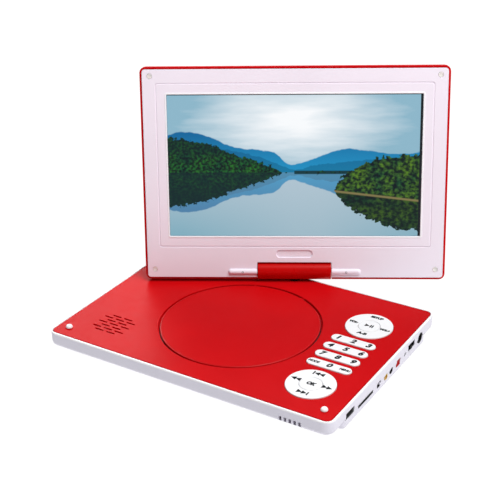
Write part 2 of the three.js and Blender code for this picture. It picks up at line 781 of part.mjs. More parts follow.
function cardSocket() {
  const { y, z, halfLength, halfHeight } = ports.card;
  const { back, half, below, above } = cardBody;
  const body = box(back, portBack, y - half, y + half, z - below, z + above);
  const nose = box(
    portBack - 1, portFace, y - halfLength, y + halfLength, z - halfHeight, z + halfHeight,
  );
  const slotHalf = halfLength - cardSlot.inset;
  const slotLow = z - cardSlot.halfHeight;
  const slotHigh = z + cardSlot.halfHeight;
  const slot = box(cardSlot.back, portFace + 1, y - slotHalf, y + slotHalf, slotLow, slotHigh);
  return cut(join(body, nose), slot);
}

function usbSocket() {
  const { y, z, halfLength, halfHeight } = ports.usb;
  const { back, skin, backWall } = usbBody;
  const shell = box(back, portFace, y - halfLength, y + halfLength, z - halfHeight, z + halfHeight);
  const hollow = box(
    back + backWall, portFace + 1,
    y - halfLength + skin, y + halfLength - skin,
    z - halfHeight + skin, z + halfHeight - skin,
  );
  const { half, low, high, root, sink } = usbTongue;
  const tongue = box(back + root, portFace - sink, y - half, y + half, z + low, z + high);
  return join(cut(shell, hollow), tongue);
}

place("dc_jack", dcJack(), blackPlastic);
place("power_switch_body", slideSwitchBody(ports.power), blackPlastic);
place("power_switch_slider", slideSwitchNub(ports.power, powerNub), blackPlastic);
const { infrared } = ports;
place(
  "infrared_window",
  box(
    portBack - 1, portFace,
    infrared.y - infrared.halfLength, infrared.y + infrared.halfLength,
    infrared.z - infrared.halfHeight, infrared.z + infrared.halfHeight,
  ),
  greyPlastic,
);
place("red_jack", shutteredSocket(ports.red), finish(0xd01c1c, 0.4));
place("black_jack", jack(ports.black, audioBody), blackPlastic);
place("yellow_jack", jack(ports.yellow, audioBody), finish(0xe0a125, 0.4));
place("av_switch_body", slideSwitchBody(ports.audioVideo), blackPlastic);
place("av_switch_slider", slideSwitchNub(ports.audioVideo, audioVideoNub), whitePlastic);
place("card_socket", cardSocket(), steel);
place("usb_socket", usbSocket(), steel);

// ---------------------------------------------------------------- swivel neck and hinge barrel

function swivelPost() {
  const profile = [
    [0, clip.bottom],
    [clip.radius, clip.bottom],
    [clip.radius, clip.top],
    [neck.shaftRadius, clip.top],
    [neck.shaftRadius, playerTop + gap],
    [neck.collarRadius, playerTop + gap],
    [neck.collarRadius, neck.collarTop],
    [stud.radius, neck.collarTop],
    [stud.radius, stud.top],
    [0, stud.top],
  ];
  return turned(0, neck.y, profile, 20);
}

function swivelBracket() {
  const { halfWidth, front, back, bottom } = bracketPlate;
  const plate = box(-halfWidth, halfWidth, front, back, bottom, coverBottom - gap);
  return cut(plate, disc(0, neck.y, neck.shaftRadius + gap, bottom - 1, coverBottom));
}

function hingeBarrel() {
  const tube = rodAlongX(-barrel.halfLength, barrel.halfLength, 0, 0, barrel.radius, 28);
  const pocketTop = neck.collarTop + gap - neck.axisZ;
  const collarPocket = disc(0, 0, neck.collarRadius + gap, -barrel.radius - 1, pocketTop, 20);
  const studEnd = stud.top + gap - neck.axisZ;
  const studHole = disc(0, 0, stud.radius + gap, -barrel.radius - 1, studEnd, 12);
  const end = barrel.halfLength;
  const bores = [
    rodAlongX(-end - 1, -end + barrel.boreDepth, 0, 0, barrel.boreRadius),
    rodAlongX(end - barrel.boreDepth, end + 1, 0, 0, barrel.boreRadius),
  ];
  return cut(tube, collarPocket, studHole, ...bores);
}

place("swivel_post", swivelPost(), steel);
place("swivel_bracket", swivelBracket(), steel);
place("hinge_barrel", hingeBarrel(), redPlastic, swivelGroup);
place(
  "tilt_shaft_left",
  rodAlongX(-tiltShaft.outer, -tiltShaft.inner, 0, 0, tiltShaft.radius),
  steel,
  swivelGroup,
);
place(
  "tilt_shaft_right",
  rodAlongX(tiltShaft.inner, tiltShaft.outer, 0, 0, tiltShaft.radius),
  steel,
  swivelGroup,
);

// ---------------------------------------------------------------- screen half

const screenOutline = {
  x: 0,
  y: (screen.top + screen.bottom) / 2,
  width: screen.width,
  depth: screen.top - screen.bottom,
  corner: screen.corner,
};
const plugPlaces = [
  [-plug.x, plug.highY],
  [plug.x, plug.highY],
  [-plug.x, plug.lowY],
  [plug.x, plug.lowY],
];

function backShell() {
  const backRound = filletSections(screen.back, 1, shellRound.back, 3);
  const rim = filletSections(screen.rim, -1, shellRound.rim, 2).reverse();
  const outer = roundedStack(screenOutline, [...backRound, ...rim]);
  const floor = screen.back + screen.wall;
  const hollow = cut(
    roundedStack(inner(screenOutline, screen.wall), [[floor, 2], [floor + 2.4, 0], [screen.rim + 5, 0]]),
    box(
      -notch.halfWidth - screen.wall, notch.halfWidth + screen.wall,
      screen.bottom - 1, notch.top + screen.wall,
      screen.back - 1, bezel.face - bezel.thickness - gap,
    ),
  );
  const bosses = plugPlaces.map(([x, y]) => disc(x, y, boss.radius, floor - 0.5, boss.top, 10));
  const bossHoles = plugPlaces.map(([x, y]) => disc(x, y, boss.pilot, floor + 1, boss.top + 1, 6));
  const opening = box(
    -notch.halfWidth, notch.halfWidth, screen.bottom - 1, notch.top, screen.back - 1, screen.rim + 1,
  );
  const reach = notch.halfWidth + screen.wall + 1;
  const shaftHole = rodAlongX(-reach, reach, 0, 0, tiltShaft.radius + gap);
  return cut(join(cut(outer, hollow), ...bosses), opening, shaftHole, ...bossHoles);
}

function bezelFrame() {
  const outline = inner(screenOutline, screen.wall + gap);
  const back = bezel.face - bezel.thickness;
  const edge = filletSections(bezel.face, -1, bezel.edge, 2).reverse();
  const plate = roundedStack(outline, [[back, 0], ...edge]);
  const stubs = [-1, 1].map((side) => {
    const z = bezel.face - knuckle.sink;
    const start = notch.halfWidth;
    const end = knuckle.outer - knuckle.radius;
    const [x0, x1] = side < 0 ? [-end, -start] : [start, end];
    const ball = new THREE.SphereGeometry(knuckle.radius, 12, 8).rotateX(Math.PI / 2);
    return cut(
      join(rodAlongX(x0, x1, 0, z, knuckle.radius), ball.translate(side * end, 0, z)),
      box(-70, 70, -5, 5, 0, back + 0.4),
    );
  });
  const cutTop = bezel.face + 1;
  const pictureWidth = picture.width / 2;
  const window = box(-pictureWidth, pictureWidth, picture.bottom, picture.top, back - 1, cutTop);
  const opening = box(-notch.halfWidth, notch.halfWidth, screen.bottom - 1, notch.top, back - 1, 12);
  const { y, length, width, depth } = fingerRest;
  const finger = pill(0, y, length, width, bezel.face - depth, cutTop);
  const line = { x: 0, y: groove.y, width: groove.width, depth: groove.height, corner: groove.corner };
  const grooveLine = cut(
    roundedSlab(inner(line, -groove.half), bezel.face - groove.half, cutTop),
    roundedSlab(inner(line, groove.half), 0, cutTop + 1),
  );
  const plugHoles = plugPlaces.map(([x, y]) => disc(x, y, plug.radius + gap, back - 1, cutTop, 12));
  return cut(join(plate, ...stubs), window, opening, finger, grooveLine, ...plugHoles);
}

function hingeBracket(side) {
  const { inner: start, sleeve: radius, length, back, front } = hingeLeaf;
  const [x0, x1] = side < 0 ? [-tiltShaft.outer, -start] : [start, tiltShaft.outer];
  const sleeve = rodAlongX(x0, x1, 0, 0, radius, 16);
  const leaf = box(x0, x1, 0, length, back, front);
  const bore = rodAlongX(x0 - 1, x1 + 1, 0, 0, tiltShaft.radius + gap);
  return cut(join(sleeve, leaf), bore);
}

place("back_shell", backShell(), redPlastic, tiltGroup);
place("bezel", bezelFrame(), whitePlastic, tiltGroup);
place(
  "lcd_panel",
  box(
    -panel.halfWidth, panel.halfWidth, panel.bottom, panel.top,
    0, picture.face - picture.sheet - gap,
  ),
  panelBack,
  tiltGroup,
);
const pictureHalf = picture.width / 2 - gap;
place(
  "lcd_screen",
  box(
    -pictureHalf, pictureHalf,
    picture.bottom + gap, picture.top - gap,
    picture.face - picture.sheet, picture.face,
  ),
  pictureGlass,
  tiltGroup,
);
place("hinge_bracket_left", hingeBracket(-1), steel, tiltGroup);
place("hinge_bracket_right", hingeBracket(1), steel, tiltGroup);
plugPlaces.forEach(([x, y], i) => {
  const shape = disc(x, y, plug.radius, 3.4, bezel.face + 0.05, 12);
  place(`screw_plug_${i + 1}`, shape, silicone, tiltGroup);
});

export default player;
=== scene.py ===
import math

import bmesh
import bpy
from mathutils import Matrix, Vector


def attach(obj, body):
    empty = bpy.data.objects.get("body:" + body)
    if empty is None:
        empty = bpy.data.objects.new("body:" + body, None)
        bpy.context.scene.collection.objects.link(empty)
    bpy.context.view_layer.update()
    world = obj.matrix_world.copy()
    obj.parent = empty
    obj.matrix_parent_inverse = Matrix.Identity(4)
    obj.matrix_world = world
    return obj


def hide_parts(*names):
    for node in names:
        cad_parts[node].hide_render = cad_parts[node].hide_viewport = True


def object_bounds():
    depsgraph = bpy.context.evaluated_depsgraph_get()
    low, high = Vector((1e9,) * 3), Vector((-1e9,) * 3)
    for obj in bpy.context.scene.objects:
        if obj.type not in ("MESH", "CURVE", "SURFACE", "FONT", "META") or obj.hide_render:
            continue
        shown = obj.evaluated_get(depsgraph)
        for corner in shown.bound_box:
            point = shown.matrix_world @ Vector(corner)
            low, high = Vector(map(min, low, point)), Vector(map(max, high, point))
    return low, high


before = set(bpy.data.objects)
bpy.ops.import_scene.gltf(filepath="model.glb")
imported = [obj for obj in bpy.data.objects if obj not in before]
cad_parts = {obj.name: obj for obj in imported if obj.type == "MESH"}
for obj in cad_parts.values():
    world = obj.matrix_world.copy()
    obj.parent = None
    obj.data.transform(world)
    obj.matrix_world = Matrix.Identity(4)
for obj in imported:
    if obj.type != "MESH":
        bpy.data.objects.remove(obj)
cad_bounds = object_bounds()

# ---------------------------------------------------------------- units and places
# Shapes are drawn in millimetres, in one of these places, and scaled to metres at the end.

MM = 0.001
ROW = Matrix.Identity(4)
TILT_AXIS = Vector((0, 85.8, 27.6))
SWIVEL_AT_REST = math.radians(29.2)
LEAN_AT_REST = math.radians(12.2)

# The screen half: x along the tilt axis, y up the screen, z out of its face.
SCREEN = (
    Matrix.Translation(TILT_AXIS)
    @ Matrix.Rotation(SWIVEL_AT_REST, 4, "Z")
    @ Matrix.Rotation(math.radians(90) - LEAN_AT_REST, 4, "X")
)
# The neck turns with the screen but doesn't tilt: x along the tilt axis, z up.
NECK = Matrix.Translation(TILT_AXIS) @ Matrix.Rotation(SWIVEL_AT_REST, 4, "Z")
# The right wall: x to the back, y up, z out of the wall.
RIGHT_WALL = Matrix(((0, 0, 1, 0), (1, 0, 0, 0), (0, 1, 0, 0), (0, 0, 0, 1)))
# A turned shape laid along x.
ALONG_X = Matrix.Rotation(math.radians(90), 4, "Y")

# Measures in millimetres, and counts of facets.
SEAM = 0.3  # left round the cover, the number strips and the picture
COVER_BOTTOM = 16.8  # underside of the red top plate
LID_RADIUS = 66  # outside of the lid's bead
BAY_RADIUS = 67.65  # the opening that the lid lies in
FACE = 5.4  # front face of the bezel, in front of the tilt axis
NOTCH_HALF = 32.4  # half the width of the bezel's notch for the barrel
NOTCH_TOP = 8.4  # above the tilt axis
KNUCKLE_END = 57.5  # from the middle of the screen
KNUCKLE_RADIUS = 2.65
KNUCKLE_AXIS = FACE - 0.4  # in front of the tilt axis
KEY_X = 93.8  # middle of the keypad
ROUND_SIDES = 160  # facets round the lid and its bay
SMALL_SIDES = 40  # facets round small turned and punched details


def extent(node, place=ROW):
    """Lowest and highest corner of a CAD node in millimetres, along the axes of a place."""
    into = place.inverted()
    points = [into @ (vertex.co / MM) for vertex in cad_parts[node].data.vertices]
    low = Vector([min(point[axis] for point in points) for axis in range(3)])
    high = Vector([max(point[axis] for point in points) for axis in range(3)])
    return low, high


def middle(node, place=ROW):
    """Centre of a CAD node's box in millimetres, along the axes of a place."""
    low, high = extent(node, place)
    return (low + high) / 2


# ---------------------------------------------------------------- camera, light and floor


def add_to_scene(thing):
    bpy.context.scene.collection.objects.link(thing)
    return thing


def add_camera():
    """The camera that took the reference view, solved from the outlines of the player."""
    focal_length = 1143.48  # in the units of a picture 500 wide
    picture_width = 500
    sensor = 36
    yaw = math.radians(-32.2646)
    pitch = math.radians(26.6246)
    roll = math.radians(-1.2922)
    place = Vector((441.926, -686.531, 493.948)) * MM
    ahead = Vector((
        math.sin(yaw) * math.cos(pitch),
        math.cos(yaw) * math.cos(pitch),
        -math.sin(pitch),
    ))
    level = Vector((math.cos(yaw), -math.sin(yaw), 0))
    upright = level.cross(ahead)
    right = level * math.cos(roll) + upright * math.sin(roll)
    up = upright * math.cos(roll) - level * math.sin(roll)
    data = bpy.data.cameras.new("camera")
    data.lens = focal_length / picture_width * sensor
    data.sensor_width = sensor
    data.clip_start = 0.05
    camera = add_to_scene(bpy.data.objects.new("camera", data))
    turn = Matrix((right, up, -ahead)).transposed().to_4x4()
    camera.matrix_world = Matrix.Translation(place) @ turn
    bpy.context.scene.camera = camera


def add_soft_light(name, place, power, size):
    """A round soft box that looks at the origin."""
    data = bpy.data.lights.new(name, "AREA")
    data.shape = "DISK"
    data.size = size
    data.energy = power
    light = add_to_scene(bpy.data.objects.new(name, data))
    place = Vector(place)
    light.location = place
    light.rotation_euler = (-place).to_track_quat("-Z", "Y").to_euler()


def add_studio():
    """Dim sky, one large light over the right side, one behind, and a pale floor."""
    scene = bpy.context.scene
    scene.view_settings.view_transform = "Standard"
    world = bpy.data.worlds.new("studio")
    world.use_nodes = True
    background = world.node_tree.nodes["Background"]
    background.inputs["Color"].default_value = (0.96, 0.96, 1, 1)
    background.inputs["Strength"].default_value = 0.16
    scene.world = world
    add_soft_light("key_light", (0.94, -0.1, 1.99), 47, 1.4)
    add_soft_light("back_light", (-1.3, 1.2, 1.3), 30, 1.3)
    floor_half = 40
    height = cad_bounds[0][2]
    signs = [(-1, -1), (1, -1), (1, 1), (-1, 1)]
    corners = [(x * floor_half, y * floor_half, height) for x, y in signs]
    mesh = bpy.data.meshes.new("floor")
    mesh.from_pydata(corners, [], [(0, 1, 2, 3)])
    mesh.materials.append(floor_material())
    add_to_scene(bpy.data.objects.new("floor", mesh))


# ---------------------------------------------------------------- node helpers


class Nodes:
    """One material's node tree, with short ways to add nodes and wire them."""

    def __init__(self, name, material=None):
        self.material = material or bpy.data.materials.new(name)
        self.material.use_nodes = True
        self.tree = self.material.node_tree
        self.shader = self.tree.nodes["Principled BSDF"]

    def add(self, kind, **settings):
        node = self.tree.nodes.new(kind)
        for key, value in settings.items():
            setattr(node, key, value)
        return node

    def wire(self, value, socket):
        """Puts a number or colour on an input socket, or links another node's output to it."""
        if isinstance(value, bpy.types.NodeSocket):
            self.tree.links.new(value, socket)
        else:
            socket.default_value = value

    def surface(self, **inputs):
        """Sets the shader's inputs; a name's underscores stand for spaces."""
        for name, value in inputs.items():
            self.wire(value, self.shader.inputs[name.replace("_", " ")])

    def calc(self, operation, *values):
        """One step of arithmetic on numbers or sockets."""
        node = self.add("ShaderNodeMath", operation=operation)
        for value, socket in zip(values, node.inputs):
            self.wire(value, socket)
        return node.outputs[0]

    def mix(self, amount, first, second):
        node = self.add("ShaderNodeMix", data_type="RGBA")
        self.wire(amount, node.inputs["Factor"])
        self.wire(first, node.inputs[6])
        self.wire(second, node.inputs[7])
        return node.outputs[2]

    def noise(self, scale, detail=3, stretch=(1, 1, 1), coordinate="Object"):
        where = self.add("ShaderNodeTexCoord").outputs[coordinate]
        mapping = self.add("ShaderNodeMapping")
        self.wire(where, mapping.inputs["Vector"])
        mapping.inputs["Scale"].default_value = stretch
        node = self.add("ShaderNodeTexNoise")
        node.inputs["Scale"].default_value = scale
        node.inputs["Detail"].default_value = detail
        self.wire(mapping.outputs["Vector"], node.inputs["Vector"])
        return node.outputs["Fac"]

    def between(self, value, low, high, from_low=0.3, from_high=0.7):
        """Maps a value from one range to another; the first range suits noise."""
        node = self.add("ShaderNodeMapRange")
        self.wire(value, node.inputs["Value"])
        node.inputs["From Min"].default_value = from_low
        node.inputs["From Max"].default_value = from_high
        node.inputs["To Min"].default_value = low
        node.inputs["To Max"].default_value = high
        return node.outputs["Result"]

    def bump(self, height, strength, depth):
        node = self.add("ShaderNodeBump")
        node.inputs["Strength"].default_value = strength
        node.inputs["Distance"].default_value = depth
        self.wire(height, node.inputs["Height"])
        self.wire(node.outputs["Normal"], self.shader.inputs["Normal"])


def rgba(colour):
    return (*colour, 1)


def scaled(colour, factor):
    """A colour made darker or lighter, with each channel kept below 1."""
    return tuple(min(channel * factor, 1) for channel in colour)


# ---------------------------------------------------------------- materials


def moulded(name, colour, roughness, grain, gloss=0.3, variation=0.05, sheen=0, light_through=0):
    """Moulded plastic: faint cloudiness, uneven polish and a fine spark-eroded grain."""
    nodes = Nodes(name)
    cloud = nodes.noise(22, 4)
    amount = nodes.between(cloud, 0, 1)
    base = nodes.mix(
        amount, rgba(scaled(colour, 1 - variation)), rgba(scaled(colour, 1 + variation)),
    )
    nodes.surface(Base_Color=base)
    polish = nodes.noise(160, 3)
    nodes.surface(Roughness=nodes.between(polish, roughness - 0.05, roughness + 0.05))
    nodes.bump(nodes.noise(2600, 2), grain, 0.00006)
    nodes.surface(
        Specular_IOR_Level=gloss, Sheen_Weight=sheen, Subsurface_Weight=light_through,
        Subsurface_Radius=(0.002, 0.0015, 0.0015),
    )
    return nodes.material


def moulded_with_painted_rim_highlight(name, colour, rim_highlight_colour, rim_height):
    """Moulded plastic whose rim, above a height in metres, is coloured a brighter white: a painted
    highlight along the lip.
    """
    nodes = Nodes(name, moulded(name, colour, 0.34, 0.12, gloss=0.35, variation=0.015))
    parts = nodes.add("ShaderNodeSeparateXYZ")
    nodes.wire(nodes.add("ShaderNodeTexCoord").outputs["Object"], parts.inputs[0])
    blur = 0.0002
    # 1 on the rim above rim_height, where the painted highlight goes.
    painted_highlight_mask = nodes.between(parts.outputs[2], 0, 1, rim_height - blur, rim_height + blur)
    base = nodes.shader.inputs["Base Color"]
    nodes.wire(nodes.mix(painted_highlight_mask, base.links[0].from_socket, rgba(rim_highlight_colour)), base)
    return nodes.material


def brushed_metal(name, colour, roughness, stretch):
    """Bare metal with fine drawn streaks in colour, polish and relief."""
    nodes = Nodes(name)
    streaks = nodes.noise(700, 4, stretch)
    base = nodes.mix(nodes.between(streaks, 0, 1), rgba(scaled(colour, 0.85)), rgba(colour))
    nodes.surface(Base_Color=base)
    nodes.surface(Roughness=nodes.between(streaks, roughness - 0.08, roughness + 0.08))
    nodes.surface(Metallic=1)
    nodes.bump(streaks, 0.15, 0.00004)
    return nodes.material


def circuit_board():
    """Green solder mask over square copper runs."""
    nodes = Nodes("circuit_board")
    where = nodes.add("ShaderNodeTexCoord").outputs["Object"]
    runs = nodes.add("ShaderNodeTexBrick")
    runs.inputs["Scale"].default_value = 260
    runs.inputs["Mortar Size"].default_value = 0.04
    nodes.wire(where, runs.inputs["Vector"])
    shade = nodes.mix(nodes.noise(90, 4), (0.008, 0.09, 0.035, 1), (0.02, 0.17, 0.07, 1))
    base = nodes.mix(runs.outputs["Fac"], shade, (0.12, 0.3, 0.12, 1))
    nodes.surface(Base_Color=base)
    nodes.surface(Roughness=0.35)
    nodes.bump(runs.outputs["Fac"], 0.3, 0.00005)
    return nodes.material


def battery_wrap():
    """Shrink film with fine creases and a paler band."""
    nodes = Nodes("battery_wrap")
    where = nodes.add("ShaderNodeTexCoord").outputs["Object"]
    bands = nodes.add("ShaderNodeTexWave", bands_direction="Y")
    bands.inputs["Scale"].default_value = 8
    bands.inputs["Distortion"].default_value = 0.4
    nodes.wire(where, bands.inputs["Vector"])
    step = nodes.between(bands.outputs["Fac"], 0, 1, 0.9, 0.95)
    base = nodes.mix(step, (0.025, 0.075, 0.19, 1), (0.22, 0.32, 0.45, 1))
    nodes.surface(Base_Color=base)
    nodes.surface(Roughness=nodes.between(nodes.noise(120, 3), 0.25, 0.45))
    nodes.bump(nodes.noise(300, 5, (1, 6, 1)), 0.4, 0.0002)
    return nodes.material


def lens_glass():
    """Coated lens: deep blue with a violet drift."""
    nodes = Nodes("lens_glass")
    base = nodes.mix(nodes.noise(600, 1), (0.02, 0.06, 0.3, 1), (0.12, 0.03, 0.35, 1))
    nodes.surface(Base_Color=base)
    nodes.surface(Roughness=nodes.between(nodes.noise(900, 2), 0.02, 0.06))
    nodes.surface(Coat_Weight=1)
    return nodes.material


def ink(name, colour):
    """Printed ink: slightly uneven cover with a low grain."""
    nodes = Nodes(name)
    cover = nodes.between(nodes.noise(1800, 3), 0, 1)
    base = nodes.mix(cover, rgba(colour), rgba(scaled(colour, 2.2)))
    nodes.surface(Base_Color=base)
    nodes.surface(Roughness=nodes.between(nodes.noise(2200, 2), 0.45, 0.6))
    nodes.bump(nodes.noise(3000, 2), 0.2, 0.00003)
    nodes.surface(Specular_IOR_Level=0.2)
    return nodes.material


def floor_material():
    """A pale sweep that lights itself a little, so that shadows on it stay faint."""
    nodes = Nodes("floor")
    base = nodes.mix(nodes.noise(3, 2), (0.1, 0.1, 0.1, 1), (0.12, 0.12, 0.12, 1))
    nodes.surface(Base_Color=base)
    nodes.surface(Roughness=nodes.between(nodes.noise(5, 2), 0.9, 1))
    nodes.surface(Specular_IOR_Level=0, Emission_Color=(1, 1, 1, 1), Emission_Strength=0.95)
    return nodes.material


class Landscape:
    """Paints the screen's picture from arithmetic on the sheet's own u and v.

    Everything is drawn by its height above the shore and mirrored below it."""

    shore = 0.455

    def __init__(self, nodes):
        self.nodes = nodes
        place = nodes.add("ShaderNodeTexCoord").outputs["UV"]
        parts = nodes.add("ShaderNodeSeparateXYZ")
        nodes.wire(place, parts.inputs[0])
        self.u = parts.outputs[0]
        self.v = parts.outputs[1]
        self.under = nodes.calc("LESS_THAN", self.v, self.shore)
        self.height = nodes.calc("ABSOLUTE", nodes.calc("SUBTRACT", self.v, self.shore))

    def outline(self, points):
        """Height of a ridge or tree line along u, through a few soft points."""
        node = self.nodes.add("ShaderNodeFloatCurve")
        curve = node.mapping.curves[0]
        curve.points[0].location = points[0]
        curve.points[1].location = points[-1]
        for point in points[1:-1]:
            curve.points.new(*point)
        node.mapping.update()
        self.nodes.wire(self.u, node.inputs["Value"])
        return node.outputs["Value"]

    def rough(self, amount, scale, stretch=(1, 0.6, 1)):
        """Noise about zero, to break up an outline."""
        speckle = self.nodes.noise(scale, 5, stretch, "UV")
        return self.nodes.between(speckle, -amount, amount, 0.25, 0.75)

    def inside(self, height, line, blur):
        """1 below a line and 0 above it, over a short blur."""
        above = self.nodes.calc("SUBTRACT", line, height)
        return self.nodes.between(above, 0, 1, -blur, blur)

    def sky(self):
        """A bright break in thin cloud, and still water below the shore."""
        nodes = self.nodes
        across = nodes.calc("MULTIPLY", nodes.calc("SUBTRACT", self.u, 0.5), 1.02)
        along = nodes.calc("MULTIPLY", nodes.calc("SUBTRACT", self.height, 0.36), 1.25)
        far = nodes.calc("SQRT", nodes.calc(
            "ADD", nodes.calc("MULTIPLY", across, across), nodes.calc("MULTIPLY", along, along),
        ))
        cloud = self.rough(0.07, 5, (1, 3, 1))
        glow = nodes.between(nodes.calc("ADD", far, cloud), 1, 0, 0.06, 0.46)
        above = nodes.mix(glow, (0.27, 0.48, 0.6, 1), (0.96, 0.98, 1, 1))
        depth = nodes.between(self.v, 0, 1, 0.0, self.shore)
        aside = nodes.calc("ABSOLUTE", nodes.calc("SUBTRACT", self.u, 0.55))
        outward = nodes.between(aside, 0, 1, 0.05, 0.5)
        deep = nodes.mix(outward, (0.36, 0.5, 0.58, 1), (0.19, 0.4, 0.5, 1))
        below = nodes.mix(depth, deep, (0.5, 0.6, 0.68, 1))
        return nodes.mix(self.under, above, below)

    def trees(self, scale, sunlit):
        """Leaves in clumps, from dark gaps to a sunlit colour."""
        nodes = self.nodes
        leaves = nodes.between(nodes.noise(scale, 8, (1.6, 1, 1), "UV"), 0, 1, 0.42, 0.66)
        clumps = nodes.between(nodes.noise(scale / 4, 3, (1.6, 1, 1), "UV"), 0, 1, 0.35, 0.65)
        dark = nodes.mix(clumps, (0.001, 0.008, 0.01, 1), (0.006, 0.022, 0.01, 1))
        light = nodes.mix(clumps, (0.004, 0.075, 0.03, 1), sunlit)
        return nodes.mix(leaves, dark, light)

    def paint(self):
        """Sky, two ridges, the far shore and the wooded slope on the left, back to front."""
        nodes = self.nodes
        picture = self.sky()
        haze = nodes.between(self.height, 0, 1, 0.0, 0.28)
        far_ridge = self.outline([
            (0, 0.265), (0.07, 0.285), (0.14, 0.265), (0.28, 0.17), (0.36, 0.16),
            (0.42, 0.14), (0.485, 0.055), (0.53, 0.07), (0.61, 0.12), (0.71, 0.165),
            (0.79, 0.15), (0.9, 0.13), (1, 0.14),
        ])
        far_blue = nodes.mix(haze, (0.012, 0.29, 0.56, 1), (0.003, 0.13, 0.33, 1))
        edge = nodes.calc("ADD", far_ridge, self.rough(0.008, 26))
        picture = nodes.mix(self.inside(self.height, edge, 0.004), picture, far_blue)
        near_ridge = self.outline([
            (0, 0.2), (0.2, 0.17), (0.36, 0.11), (0.46, 0.04), (0.5, 0.02), (0.58, 0.05),
            (0.68, 0.07), (0.8, 0.09), (1, 0.1),
        ])
        near_blue = nodes.mix(haze, (0.004, 0.19, 0.37, 1), (0.002, 0.09, 0.26, 1))
        edge = nodes.calc("ADD", near_ridge, self.rough(0.008, 40))
        picture = nodes.mix(self.inside(self.height, edge, 0.003), picture, near_blue)
        veil = nodes.calc("MULTIPLY", self.under, 0.25)
        picture = nodes.mix(veil, picture, (0.3, 0.48, 0.58, 1))
        shore_line = self.inside(self.height, 0.012, 0.003)
        wooded = nodes.calc("MULTIPLY", shore_line, nodes.calc("GREATER_THAN", self.u, 0.5))
        picture = nodes.mix(wooded, picture, (0.004, 0.04, 0.05, 1))
        bank = self.outline([
            (0, 0.25), (0.06, 0.235), (0.16, 0.2), (0.26, 0.13), (0.36, 0.075), (0.42, 0.03),
            (0.46, 0.0), (0.6, -0.05), (1, -0.05),
        ])
        edge = nodes.calc("ADD", bank, self.rough(0.022, 60))
        hillside = self.trees(55, (0.02, 0.17, 0.02, 1))
        woods = nodes.mix(nodes.between(self.height, 0, 0.6, 0.06, 0.16), hillside, (0.002, 0.018, 0.02, 1))
        still = nodes.mix(0.7, woods, (0.003, 0.022, 0.024, 1))
        woods = nodes.mix(self.under, woods, still)
        picture = nodes.mix(self.inside(self.height, edge, 0.003), picture, woods)
        return self.painted_recess_shadow(self.near_bank(picture))

    def near_bank(self, picture):
        """The wooded point on the right, which stands nearer, with its own water's edge."""
        nodes = self.nodes
        waterline = nodes.between(self.u, 0.325, 0.25, 0.64, 1)
        rise = nodes.calc("SUBTRACT", self.v, waterline)
        height = nodes.calc("ABSOLUTE", rise)
        crown = self.outline([
            (0, 0), (0.655, 0), (0.67, 0.06), (0.71, 0.14),
            (0.76, 0.2), (0.84, 0.27), (0.92, 0.3), (1, 0.33),
        ])
        inner = self.outline([
            (0, 0), (0.655, 0), (0.68, 0.05), (0.74, 0.13),
            (0.82, 0.18), (0.9, 0.215), (1, 0.2),
        ])
        below = nodes.calc("LESS_THAN", rise, 0)
        top = nodes.between(below, 1, 0, 0, 1)
        line = nodes.calc(
            "ADD", nodes.calc("MULTIPLY", crown, top), nodes.calc("MULTIPLY", inner, below),
        )
        edge = nodes.calc("ADD", line, self.rough(0.028, 48))
        bush = self.trees(38, (0.1, 0.23, 0.015, 1))
        dull = nodes.mix(0.55, bush, (0.003, 0.014, 0.01, 1))
        leaves = nodes.mix(below, bush, dull)
        reeds = self.inside(height, 0.007, 0.004)
        leaves = nodes.mix(reeds, leaves, (0.22, 0.18, 0.07, 1))
        real = nodes.calc("GREATER_THAN", self.u, 0.645)
        amount = nodes.calc("MULTIPLY", self.inside(height, edge, 0.003), real)
        return nodes.mix(amount, picture, leaves)

    def painted_recess_shadow(self, picture):
        """A thin dark border painted along the right and the top of the panel: the painted shadow of the
        bezel's recess.
        """
        nodes = self.nodes
        right = nodes.calc("GREATER_THAN", self.u, 0.9915)
        top = nodes.calc("GREATER_THAN", self.v, 0.9955)
        edge = nodes.calc("MAXIMUM", right, top)
        # Painted shadow: this dark border stands in for the shade inside the recess.
        return nodes.mix(edge, picture, (0.008, 0.012, 0.014, 1))


def screen_picture():
    """A lit panel behind clear film, showing a made-up lake between hills."""
    nodes = Nodes("screen_picture")
    picture = Landscape(nodes).paint()
    nodes.surface(Base_Color=(0.01, 0.01, 0.012, 1))
    nodes.surface(Emission_Color=picture)
    nodes.surface(Emission_Strength=0.97)
    nodes.surface(Roughness=nodes.between(nodes.noise(220, 2), 0.12, 0.2))
    nodes.surface(Specular_IOR_Level=0.05)
    return nodes.material


case_white = moulded("case_white", (0.8, 0.775, 0.875), 0.34, 0.12, gloss=0.35, variation=0.015)
# The case's top lip, above 17.6 mm, carries a painted highlight in a brighter white.
case_shell = moulded_with_painted_rim_highlight("case_shell", (0.8, 0.775, 0.875), (0.97, 0.96, 0.98), 0.0176)
# White bezel plastic with a pink tint painted in as bounce light from the red top.
bezel_white_painted_red_bounce = moulded("bezel_white_painted_red_bounce", (0.93, 0.85, 0.94), 0.4, 0.14, gloss=0.25, variation=0.015)
